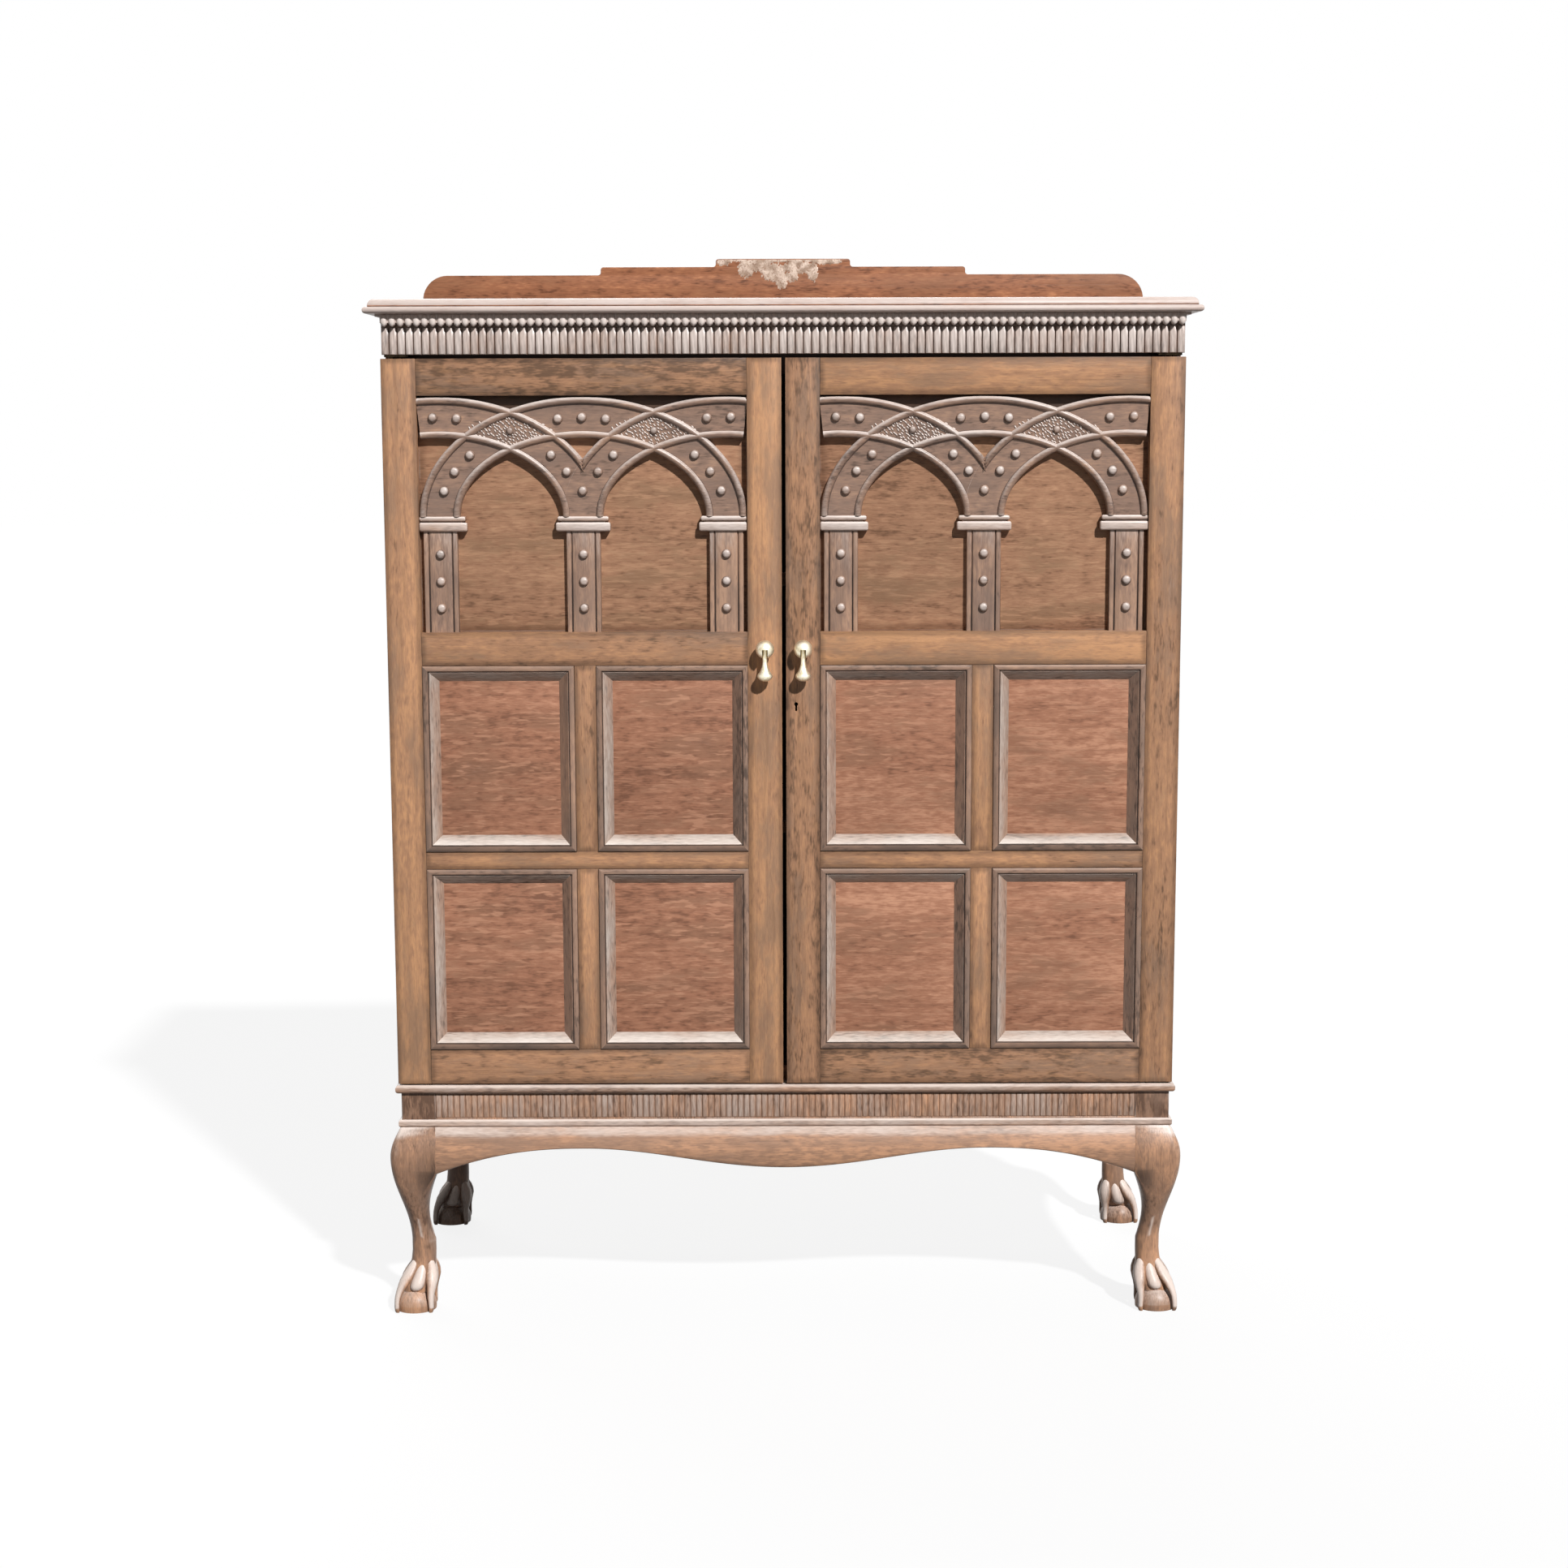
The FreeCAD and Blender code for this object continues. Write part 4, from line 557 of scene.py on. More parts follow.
# %% Rings in plan
CORNERS = ((1, 1), (-1, 1), (-1, -1), (1, -1))


def circle(radius, sides):
    """Pairs round a circle."""
    turns = (2 * math.pi * step / sides for step in range(sides))
    return [(radius * math.cos(turn), radius * math.sin(turn)) for turn in turns]


def rounded(lo, hi, insets, radii, steps):
    """Pairs round an oblong; each corner's arc has its middle in by an inset, and its own radius."""
    ring = []
    for quarter, (sx, sy) in enumerate(CORNERS):
        x = (hi if sx > 0 else lo)[0] - sx * insets[quarter]
        y = (hi if sy > 0 else lo)[1] - sy * insets[quarter]
        for step in range(steps + 1):
            turn = math.pi / 2 * (quarter + step / steps)
            ring.append((x + radii[quarter] * math.cos(turn), y + radii[quarter] * math.sin(turn)))
    return ring


# %% A collector for forms
class Form:
    """Vertices and faces of one piece, with a note of which are carved and of their stain, which also carries
    painted light and shade.
    """

    def __init__(self):
        self.spots = []
        self.faces = []
        self.carved = []
        self.stain = []

    def stack(self, rings, carved=True, stain=0.0):
        """A closed skin over rings of equally many points. A stain, which also carries painted light and
        shade, may be given ring by ring or point by point."""
        start = len(self.spots)
        wide = len(rings[0])
        for ring in rings:
            self.spots.extend(ring)
        self.carved.extend([carved] * (wide * len(rings)))
        stain = np.reshape(stain, np.shape(stain) + (1,) * (2 - np.ndim(stain)))
        self.stain.extend((np.zeros((len(rings), wide)) + stain).flat)
        for row in range(len(rings) - 1):
            for place in range(wide):
                one = start + row * wide + place
                two = start + row * wide + (place + 1) % wide
                self.faces.append((one, two, two + wide, one + wide))
        last = start + (len(rings) - 1) * wide
        self.faces.append(tuple(range(start + wide - 1, start - 1, -1)))
        self.faces.append(tuple(range(last, last + wide)))

    def bar(self, lo, hi, arris, carved=False, steps=3):
        """A rounded block between two corners."""
        turns = [math.pi / 2 * step / steps for step in range(steps + 1)]
        ends = [(arris * (1 - math.sin(t)), arris * (1 - math.cos(t))) for t in turns]
        levels = [(lo[2] + drop, inset) for inset, drop in ends]
        levels += [(hi[2] - drop, inset) for inset, drop in reversed(ends)]
        rings = []
        for height, inset in levels:
            ring = rounded(lo, hi, [arris] * 4, [arris - inset] * 4, steps)
            rings.append([(x, y, height) for x, y in ring])
        self.stack(rings, carved)

    def mesh(self, name, shade=40):
        made = bpy.data.meshes.new(name)
        made.from_pydata(self.spots, [], self.faces)
        with edited(made) as bm:
            flag = bm.verts.layers.int.new("carved")
            stain_and_shading_layer = bm.verts.layers.float.new("stain")
            for vert, carved, stain in zip(bm.verts, self.carved, self.stain):
                vert[flag] = int(carved)
                vert[stain_and_shading_layer] = stain
            bmesh.ops.dissolve_degenerate(bm, dist=1e-6, edges=bm.edges)
            bmesh.ops.recalc_face_normals(bm, faces=bm.faces)
        smooth(made, shade)
        return made


def flags(mesh):
    """Which vertices are carved and their stain with its painted light and shade, taken off the mesh again.
    """
    found = {}
    for name, kind in (("carved", np.int32), ("stain", np.float32)):
        found[name] = rows_of(mesh.attributes[name].data, "value", kind, 1)[:, 0]
        mesh.attributes.remove(mesh.attributes[name])
    return {"carved": found["carved"].astype(bool), "stain": found["stain"]}


def skin(name, rings, shade):
    """A single stack as a mesh, without its flags."""
    form = Form()
    form.stack(rings)
    mesh = form.mesh(name, shade)
    flags(mesh)
    return mesh


# %% [markdown]
# ## Panel mouldings
# Each of the eight lower panels is held by a mitred frame: a rounded lip that stands proud of the door,
# a fine quirk, then a slope down to the panel. Four strips with mitred ends, instead of one ring, let the
# grain turn the corner with the wood.

# %% Section and wear of the moulding
LIP_FRONT, DOOR_FRONT, PANEL_FRONT = -215.0, -212.5, -200.5
MOULDING = [  # inset from the opening's edge, and front
    (0.0, -201.0), (0.0, -213.4), (0.5, -214.4), (1.6, LIP_FRONT), (5.0, LIP_FRONT), (6.4, -214.6),
    (7.1, -213.8), (7.4, -212.4), (8.0, -212.0), (8.9, -212.2), (19.0, -201.9), (20.2, -200.9),
    (20.5, PANEL_FRONT),
]
LIP_START, LIP_END, QUIRK_END = 0.3, 7.2, 8.5
SLOPE_START, SLOPE_RUN, SLOPE_FADE = 8.9, 10.0, 0.45
# The lips' and slopes' values differ from side to side with how the key falls: painted sheen and light on the
# slopes, strongest on the bottom one, which looks up, and painted shade on the lips but the top one, darkest
# on the bottom one.
STRIPS = {  # ends of each strip as (right, top), and the wear of its lip and of its slope
    "left": ((0, 0), (0, 1), -0.3, 0.42), "right": ((1, 0), (1, 1), -0.15, 0.1),
    "bottom": ((0, 0), (1, 0), -0.45, 0.7), "top": ((0, 1), (1, 1), 0.0, 0.5),
}


def moulding_light_and_shade(inset, lip, slope):
    """Painted shade against the door and in the quirk; the slope's rubbing and painted light fade towards the
    panel.
    """
    if inset < LIP_START or LIP_END < inset < QUIRK_END:
        return -0.9
    if inset < QUIRK_END:
        return lip
    return slope * (1 - SLOPE_FADE * unit((inset - SLOPE_START) / SLOPE_RUN))


# %% Mitred frames
def solid_boxes(node):
    """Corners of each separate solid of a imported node."""
    bm = merged(node)
    spots = np.array([vert.co for vert in bm.verts])
    edges = np.array([[vert.index for vert in edge.verts] for edge in bm.edges])
    bm.free()
    label = solids_of(len(spots), edges)
    return [(spots[label == one].min(0), spots[label == one].max(0)) for one in np.unique(label)]


def mitred_frame(forms, lo, hi):
    """Four strips of the moulding round an opening, each from one mitre to the other."""
    for name, (first, last, lip, slope) in STRIPS.items():
        rings = []
        for end_x, end_z in (first, last):
            ring = []
            for inset, y in MOULDING:
                x = hi[0] - inset * MM if end_x else lo[0] + inset * MM
                z = hi[2] - inset * MM if end_z else lo[2] + inset * MM
                ring.append((x, y * MM, z))
            rings.append(ring)
        wear_and_light = [moulding_light_and_shade(inset, lip, slope) for inset, y in MOULDING]
        forms["z" if name in SIDES else "x"].stack(rings, stain=[wear_and_light, wear_and_light])


for side in SIDES:
    forms = {"x": Form(), "z": Form()}
    frames = solid_boxes(f"{side}_panel_mouldings")
    for lo, hi in frames:
        mitred_frame(forms, lo, hi)
    for axis, form in forms.items():
        name = f"{side}_mouldings_{axis}"
        mesh = form.mesh(name, 30)
        mark(mesh, axis, worn=0.0, **flags(mesh))
        finish(name, mesh, "door_wood", f"{side}_door", [f"{side}_panel_mouldings"], OAK["moulding"])
    print(side, "mouldings:", len(frames), "frames")

# %% [markdown]
# ## The arcade
# Three elliptical arches spring from three pilasters and cross one another. Each arch is a band with a
# rounded bead along both edges, and the beads run on through the crossings. The band's section is swept
# round the ellipse. Where two bands cross, their faces lie a twentieth of a millimetre or more apart,
# so that they don't flicker, and the beads simply meet.

# %% Section and opening
PITCH, RISE = 183.0, 125.0
ARCADE_BACK, FIELD = -198.5, 8.6
FIELD_FRONT = ARCADE_BACK - FIELD
BEAD_MIDDLE, BEAD_HALF, BEAD_RISE = 21.5, 4.5, 4.6
FIELD_OUTER, FIELD_INNER = 16.2, 8.0
HALF_SECTION = [(BEAD_MIDDLE + BEAD_HALF, 0.0)]  # growth of the ellipse, and relief
for turn in map(math.radians, range(0, 181, 20)):
    bead = (BEAD_MIDDLE + BEAD_HALF * math.cos(turn), FIELD + BEAD_RISE * math.sin(turn))
    HALF_SECTION.append(bead)
HALF_SECTION += [(FIELD_OUTER, FIELD), (FIELD_INNER, FIELD)]
SECTION = HALF_SECTION + [(-grow, out) for grow, out in reversed(HALF_SECTION)]

arcade_low, arcade_high = (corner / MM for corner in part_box("left_arcade_arches"))
SPRING = arcade_low.z
LEFT_MIDDLE = (arcade_low.x + arcade_high.x) / 2
DOOR_MIDDLE = {"left": LEFT_MIDDLE, "right": -LEFT_MIDDLE}
WINDOW_HALF = (arcade_high.x - arcade_low.x) / 2
print("arches spring at", round(SPRING, 1), "mm; opening half", round(WINDOW_HALF, 1))

# %% Arches
ARCHES = [  # place, first and last angle, lift and steps
    (0, 0, 180, 0.0, 120), (-1, 0, 98, 0.05, 64), (1, 82, 180, 0.10, 64),
]


def trimmed(x, middle):
    """A place held inside the opening of the door with that middle."""
    return min(max(x, middle - WINDOW_HALF), middle + WINDOW_HALF)


def arch(form, middle, place, first, last, lift, steps):
    """Sweep the band from one angle to another, trimmed at the sides of the opening. Where two bands run
    down to one capital, the outer bead stops on their meeting line and the field goes on."""
    centre = middle + place * PITCH
    rings = []
    for step in range(steps + 1):
        turn = math.radians(first + (last - first) * step / steps)
        ring = []
        for grow, out in SECTION:
            x = centre + (PITCH + grow) * math.cos(turn)
            z = SPRING + (RISE + grow) * math.sin(turn)
            if grow > FIELD_INNER and (x - middle) * (middle - centre) > 0:
                out = min(out, FIELD)
            ring.append(mm(trimmed(x, middle), ARCADE_BACK - out - lift, z))
        rings.append(ring)
    form.stack(rings)


for side, middle in DOOR_MIDDLE.items():
    form = Form()
    for row in ARCHES:
        arch(form, middle, *row)
    mesh = form.mesh(f"{side}_arches", 50)
    # Crests are rubbed and given a painted highlight, faces that look up a painted sheen, and hollows painted
    # shade with dirt.
    mark(mesh, "x", **flags(mesh), whole=True, painted_top_light=0.6, rub_and_sheen=0.5)
    finish(f"{side}_arches", mesh, "carved_wood", f"{side}_door", [f"{side}_arcade_arches"])
    print(side, "arches:", len(ARCHES), "faces:", len(mesh.polygons))

# %% [markdown]
# ## Pilasters and capitals
# Each pilaster is a flat shaft with a quirk near both edges, under a capital of two beads. The outer
# ones are cut off by the stiles, as on the real doors.

# %% Pilasters
SHAFT = [  # half width and relief
    (22.0, 0.0), (22.0, 7.6), (21.2, 8.6), (19.5, 8.9), (16.6, 8.9), (15.6, 8.2), (15.1, 6.6), (14.4, 6.6),
    (13.9, 8.4), (13.0, 9.0), (6.0, 9.0),
]
SHAFT_RING = SHAFT + [(-x, out) for x, out in reversed(SHAFT)]
SHAFT_FOOT, SHAFT_HIDDEN = 60, 15
CAPITAL = [  # half width, relief, lower and upper height and arris of the two beads and the neck between
    (35.0, 13.0, 1034.0, 1045.6, 2.6), (33.0, 11.5, 1047.2, 1053.4, 2.4), (28.0, 9.4, 1040.0, 1050.0, 0.8),
]
BEAD_FACE, SHADED_DEPTHS = 10.6, ((6.5, 8.3), (9.2, 9.9))
pilaster_low, pilaster_high = (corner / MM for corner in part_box("left_arcade_pilasters"))


def capital_light_and_shade(spots):
    """Pale beads, rubbed and with a painted highlight, and painted shade at the depths of the quirks and of
    the neck.
    """
    out = ARCADE_BACK - spots[:, 1] / MM
    worn = np.where(out > BEAD_FACE, 0.5, 0.0)
    for low, high in SHADED_DEPTHS:
        worn = np.where((out > low) & (out < high), -0.7, worn)
    return worn


for side, middle in DOOR_MIDDLE.items():
    form = Form()
    for place in (-1, 0, 1):
        centre = middle + place * PITCH
        rings = []
        for z in (pilaster_low.z, pilaster_low.z + SHAFT_FOOT, pilaster_high.z - SHAFT_HIDDEN):
            rings.append([mm(trimmed(centre + x, middle), ARCADE_BACK - out, z) for x, out in SHAFT_RING])
        form.stack(rings)
        for half, out, low, high, arris in CAPITAL:
            lo = mm(trimmed(centre - half, middle), ARCADE_BACK - out, low)
            hi = mm(trimmed(centre + half, middle), ARCADE_BACK, high)
            form.bar(lo, hi, arris * MM, True, 4)
    mesh = form.mesh(f"{side}_pilasters", 40)
    # Faces of the pilasters that look up get a painted sheen.
    mark(mesh, worn=capital_light_and_shade, painted_top_light=0.5, tone=0.8, **flags(mesh))
    finish(f"{side}_pilasters", mesh, "carved_wood", f"{side}_door", [f"{side}_arcade_pilasters"])
print("pilasters from", round(pilaster_low.z, 1), "to", round(pilaster_high.z, 1), "mm")

# %% [markdown]
# ## Rows, studs and punched ground with Geometry Nodes
# Reeds, lappets, studs and chisel marks repeat by the dozen. Copying them in a loop would work, but a
# node tree keeps the count and the spacing as inputs that can be changed later. Each tree repeats the
# mesh that it is put on, makes the copies real and sets the material. The result becomes a plain mesh.

# %% Opening, closing and running a tree
def new_tree(name, inputs):
    """An empty tree with a mesh in, named inputs and a finish, and a mesh out."""
    tree = bpy.data.node_groups.new(name, "GeometryNodeTree")
    tree.interface.new_socket("Form", in_out="INPUT", socket_type="NodeSocketGeometry")
    for label, kind in inputs + [("Finish", "Material")]:
        tree.interface.new_socket(label, in_out="INPUT", socket_type=f"NodeSocket{kind}")
    tree.interface.new_socket("Form", in_out="OUTPUT", socket_type="NodeSocketGeometry")
    g = Graph(tree)
    entry = g.node("NodeGroupInput").socket.node
    return tree, g, {socket.name: Wire(g, socket) for socket in entry.outputs if socket.name}


def close_tree(g, given, places):
    """Put the form at all places, make the copies real and set their finish."""
    copies = g.node("GeometryNodeInstanceOnPoints", None, {"Instance": given["Form"], **places})
    real = g.node("GeometryNodeRealizeInstances", None, {0: copies})
    dressed = g.node("GeometryNodeSetMaterial", None, {"Geometry": real, "Material": given["Finish"]})
    g.node("NodeGroupOutput", None, {0: dressed})


def repeated(name, template, tree, **values):
    """Run a tree on a template mesh and keep the result as a plain mesh."""
    carrier = linked(name, template)
    modifier = carrier.modifiers.new(name, "NODES")
    modifier.node_group = tree
    known = {s.name: s.identifier for s in tree.interface.items_tree if s.in_out == "INPUT"}
    for label, value in values.items():
        modifier[known[label]] = value
    made = evaluated(name, carrier)
    carrier.modifiers.remove(modifier)
    bpy.data.objects.remove(carrier)
    return made


def evaluated(name, carrier):
    """What an object's modifiers make of it, as a plain mesh."""
    bpy.context.view_layer.update()
    seen = carrier.evaluated_get(bpy.context.evaluated_depsgraph_get())
    made = bpy.data.meshes.new_from_object(seen)
    made.name = name
    return made


# %% Trees that repeat a form
def row_tree():
    """Copies along +X."""
    tree, g, given = new_tree("row", [("Count", "Int"), ("Pitch", "Float")])
    step = g.node("ShaderNodeCombineXYZ", None, {"X": given["Pitch"]})
    line = g.node("GeometryNodeMeshLine", {"mode": "OFFSET"}, {"Count": given["Count"], "Offset": step})
    close_tree(g, given, {"Points": line})
    return tree


def studs_tree():
    """Copies at the vertices of another mesh, scaled by its 'size'."""
    tree, g, given = new_tree("studs", [("Places", "Object")])
    places = g.node("GeometryNodeObjectInfo", None, {"Object": given["Places"]}).beside("Geometry")
    size = g.node("GeometryNodeInputNamedAttribute", {"data_type": "FLOAT"}, {"Name": "size"})
    close_tree(g, given, {"Points": places, "Scale": size})
    return tree


def punched_tree(least=0.45, most=1.1):
    """Copies scattered over the faces of another mesh, no closer than a spacing, turned at random."""
    tree, g, given = new_tree("punched", [("Ground", "Object"), ("Spacing", "Float"), ("Seed", "Int")])
    ground = g.node("GeometryNodeObjectInfo", None, {"Object": given["Ground"]}).beside("Geometry")
    marks = g.node("GeometryNodeDistributePointsOnFaces", {"distribute_method": "POISSON"}, {
        "Mesh": ground, "Distance Min": given["Spacing"], "Density Max": 200000.0, "Seed": given["Seed"],
    })
    limits = {2: least, 3: most, "Seed": given["Seed"]}
    turn = g.node("FunctionNodeRandomValue", {"data_type": "FLOAT"}, limits, out=1)
    tilt = g.node("ShaderNodeCombineXYZ", None, {"Y": turn})
    close_tree(g, given, {"Points": marks, "Rotation": tilt})
    return tree


ROW, STUDS, PUNCHED = row_tree(), studs_tree(), punched_tree()
print("trees:", ROW.name, STUDS.name, PUNCHED.name)

# %% [markdown]
# ## Studs on the arcade
# Turned domes are planted along the bands and down the pilasters, with a smaller one in the middle of
# each crossing. The dome is a few rings of points; its places are worked out from the arch's ellipse.
# The ground of each crossing is punched with short chisel marks, flat domes at random turns.

# %% Places of the studs
SMALL_STUD = 0.78
STUD_TURNS = (15, 27, 38.5)
STUD_PITCH, SIDE_SHIFT = 30.5, 8.75
SHAFT_DROP, SHAFT_PITCH = 48, 34.5


def crown(shift):
    """Height of the ellipse, some way from its middle."""
    return SPRING + RISE * math.sqrt(1 - (shift / PITCH) ** 2)


CROSSING = crown(PITCH / 2)


def stud_places(middle):
    """Middle and relative size of every stud of a door, from its middle line."""
    found = [(0.0, STUD_TURNS[0])]
    for side in (-1, 1):
        found += [(side * PITCH * math.cos(math.radians(turn)), turn) for turn in STUD_TURNS]
        found += [(side * PITCH * (1 - math.cos(math.radians(turn))), turn) for turn in STUD_TURNS[1:]]
    spots = [(x, SPRING + RISE * math.sin(math.radians(turn)), 1.0) for x, turn in found]
    for side in (-1, 1):
        spots.append((side * PITCH / 2, CROSSING, SMALL_STUD))
        for half in (-STUD_PITCH / 2, STUD_PITCH / 2):
            shift = half - side * SIDE_SHIFT
            spots.append((side * PITCH + shift, crown(shift), 1.0))
    spots += [(shift, crown(shift), 1.0) for shift in (-STUD_PITCH, 0.0, STUD_PITCH)]
    for place in (-1, 0, 1):
        spots += [(place * PITCH, SPRING - SHAFT_DROP - SHAFT_PITCH * step, 1.0) for step in range(3)]
    return [(middle + x, z, size) for x, z, size in spots]


print("bands cross at", round(CROSSING, 1), "mm")

# %% Domes and grounds
DOME_TURNS, DOME_POWER = (-20, 0, 25, 45, 62, 78), 0.6
LOZENGE_X, LOZENGE_Z, LOZENGE_LIFT, LOZENGE_SIDES, LOZENGE_POWER = 54, 17.5, 1, 40, 1.3
GROUND_LIFT = 0.1


def dome(name, radius, height, sides):
    """A flattened dome that faces the front, with a little of it below its widest ring."""
    rings = []
    for turn in map(math.radians, DOME_TURNS):
        reach = radius * math.cos(turn) ** DOME_POWER
        out = height * math.sin(turn)
        rings.append([mm(a, -out, b) for a, b in circle(reach, sides)])
    return skin(name, rings, 60)


def pointed(value):
    """A sine or cosine drawn in, so that a circle gets points."""
    return math.copysign(abs(value) ** LOZENGE_POWER, value)


def lozenges(middle):
    """The crossings' ground, two pointed ovals inside the beads."""
    mesh = bpy.data.meshes.new("ground")
    spots, faces = [], []
    for side in (-1, 1):
        start = len(spots)
        for a, b in circle(1, LOZENGE_SIDES):
            x = middle + side * PITCH / 2 + LOZENGE_X * pointed(a)
            z = CROSSING + LOZENGE_LIFT + LOZENGE_Z * pointed(b)
            spots.append(mm(x, FIELD_FRONT - GROUND_LIFT, z))
        faces.append(tuple(range(start, start + LOZENGE_SIDES)))
    mesh.from_pydata(spots, [], faces)
    return mesh


# %% Studs and chisel marks
STUD_RADIUS, STUD_HEIGHT, STUD_DOME, STUD_SIDES = 6.5, 5.5, 5.7, 14
STUD_LIFT, STUD_SINK = 2.0, 2.3
MARK_RADIUS, MARK_HEIGHT, MARK_SIDES, MARK_STRETCH, MARK_SPACING = 1.0, 1.1, 6, 2.6, 3.1


def stud_light_and_shade(spots):
    """Painted shade round a stud's foot, and a pale crown, rubbed and with a painted highlight."""
    return np.clip((FIELD_FRONT - spots[:, 1] / MM) / STUD_HEIGHT * 1.3 - 0.7, -0.7, 0.5)


# Chisel marks are pale on top, rubbed and with a painted highlight, and darker at their feet, as painted
# shade.
def chisel_light_and_shade(spots):
    return np.clip(FIELD_FRONT - spots[:, 1] / MM - 0.3, -0.6, 0.7)


for side, middle in DOOR_MIDDLE.items():
    places = stud_places(middle)
    points = bpy.data.meshes.new("stud_places")
    spots = [mm(x, FIELD_FRONT - STUD_LIFT + STUD_SINK * size, z) for x, z, size in places]
    points.from_pydata(spots, [], [])
    put(points, "size", "FLOAT", [size for x, z, size in places])
    holder = linked("stud_places", points)
    template = dome(f"{side}_stud", STUD_RADIUS, STUD_DOME, STUD_SIDES)
    mesh = repeated(f"{side}_studs", template, STUDS, Places=holder, Finish=FINISHES["carved_wood"])
    bpy.data.objects.remove(holder)
    # Faces of the studs that look up get a painted sheen.
    mark(mesh, "x", carved=True, worn=stud_light_and_shade, painted_top_light=0.4)
    finish(f"{side}_studs", mesh, "carved_wood", f"{side}_door", [f"{side}_arcade_studs"])

    ground = linked("ground", lozenges(middle))
    template = dome(f"{side}_chisel_mark", MARK_RADIUS, MARK_HEIGHT, MARK_SIDES)
    template.transform(Matrix.Diagonal((MARK_STRETCH, 1, 1, 1)))
    per_mark = len(template.vertices)
    mesh = repeated(
        f"{side}_punched_ground", template, PUNCHED, Ground=ground, Spacing=MARK_SPACING * MM, Seed=4,
        Finish=FINISHES["carved_wood"],
    )
    bpy.data.objects.remove(ground)
    # Faces of the marks that look up get a painted sheen.
    mark(mesh, "x", carved=True, whole=True, worn=chisel_light_and_shade, painted_top_light=0.4)
    finish(f"{side}_punched_ground", mesh, "carved_wood", f"{side}_door", [f"{side}_arcade_arches"])
    print(side, "studs:", len(places), "chisel marks:", len(mesh.vertices) // per_mark)

# %% [markdown]
# ## Friezes
# The frieze under the top is a board with 99 upright reeds under a row of pointed lappets. The base has
# 118 finer reeds between the plain leg blocks. One reed and one lappet are made, and the row tree
# repeats them along the board.

# %% One reed and one lappet
HALF_TURNS = [math.pi * step / 6 for step in range(7)]
REED_END, END_SHARE = 0.8, 0.7
REED_POWER, LAPPET_POWER = 0.45, 0.35  # the lower, the squarer the section
LAPPET = [  # share of the width, front and height of a small leaf that hangs to a point and curls forwards
    (1.0, -219.0, 1307.4), (1.0, -221.5, 1305.0), (1.0, -222.4, 1301.5), (1.0, -222.6, 1297.5),
    (0.92, -222.4, 1295.0), (0.62, -221.6, 1293.0), (0.15, -220.4, 1291.6),
]


def reed(start, width, relief, low, high):
    """A half-round bar with square ends, standing at the row's first place."""
    rings = []
    ends = ((END_SHARE, low), (1, low + REED_END), (1, high - REED_END), (END_SHARE, high))
    for share, z in ends:
        ring = []
        for turn in HALF_TURNS:
            x = start[0] + width / 2 * math.cos(turn)
            ring.append(mm(x, start[1] - relief * share * math.sin(turn) ** REED_POWER, z))
        rings.append(ring)
    return skin("reed", rings, 50)


def lappet(start, width):
    rings = []
    for share, front, z in LAPPET:
        ring = []
        for turn in HALF_TURNS:
            x = start[0] + width / 2 * share * math.cos(turn)
            ring.append(mm(x, start[1] - (start[1] - front) * math.sin(turn) ** LAPPET_POWER, z))
        rings.append(ring)
    return skin("lappet", rings, 50)


print("lappet rings:", len(LAPPET), "of", len(HALF_TURNS), "points")


# %% A reeded board
# The lappets are painted pale on their crests, as light, and dark in their valleys, as shade.
LAPPET_LIGHT = (-221.5, -214.0, -0.2, 0.85)
BOARD_EDGE, STRIP_EDGE = 0.5, 0.7


def joined(name, meshes):
    bm = bmesh.new()
    for mesh in meshes:
        bm.from_mesh(mesh)
    made = bpy.data.meshes.new(name)
    bm.to_mesh(made)
    bm.free()
    return made


def relief_light_and_shade(crest, valley, low, high):
    """Painted shade in the valleys between reeds; their crests are rubbed and painted pale, as light."""
    def wear_and_light(spots):
        share = (valley - spots[:, 1] / MM) / (valley - crest)
        return low + (high - low) * np.clip(share, 0, 1) ** 0.6
    return wear_and_light


def frieze_board(lo, hi, valley, plain):
    """The board behind the reeds, with its plain strips."""
    form = Form()
    form.bar((lo.x, valley * MM, lo.z), (hi.x, hi.y, hi.z), BOARD_EDGE * MM)
    for bottom, top, front in plain:
        form.bar((lo.x, front * MM, bottom * MM), (hi.x, hi.y, top * MM), STRIP_EDGE * MM)
    mesh = form.mesh("frieze_board", 40)
    flags(mesh)
    return mesh


def reeded(name, nodes, slot, count, width, valley, crest, rise, plain, wear_and_light, lappets=None):
    """A board with reeds from valley to crest, plain strips, and lappets of a width, if there are any."""
    lo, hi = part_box(nodes[0])
    pitch = (hi.x - lo.x) / count
    start = (lo.x / MM + pitch / MM / 2, valley)
    row = dict(Count=count, Pitch=pitch, Finish=FINISHES[slot])
    relief_shading = relief_light_and_shade(crest, valley, *wear_and_light)
    template = reed(start, width, valley - crest, *rise)
    parts = [(repeated(f"{name}_reeds", template, ROW, **row), relief_shading)]
    if lappets:
        template = lappet(start, lappets)
        parts.append((repeated(f"{name}_lappets", template, ROW, **row), relief_light_and_shade(*LAPPET_LIGHT)))
    parts.append((frieze_board(lo, hi, valley, plain), relief_shading))
    for mesh, worn in parts:
        mark(mesh, "z", whole=True, carved=True, worn=worn)
    mesh = joined(name, [mesh for mesh, worn in parts])
    smooth(mesh, 50)
    finish(name, mesh, slot, "cabinet", nodes)
    print(name, "reeds:", count, "pitch", round(pitch / MM, 2), "mm")


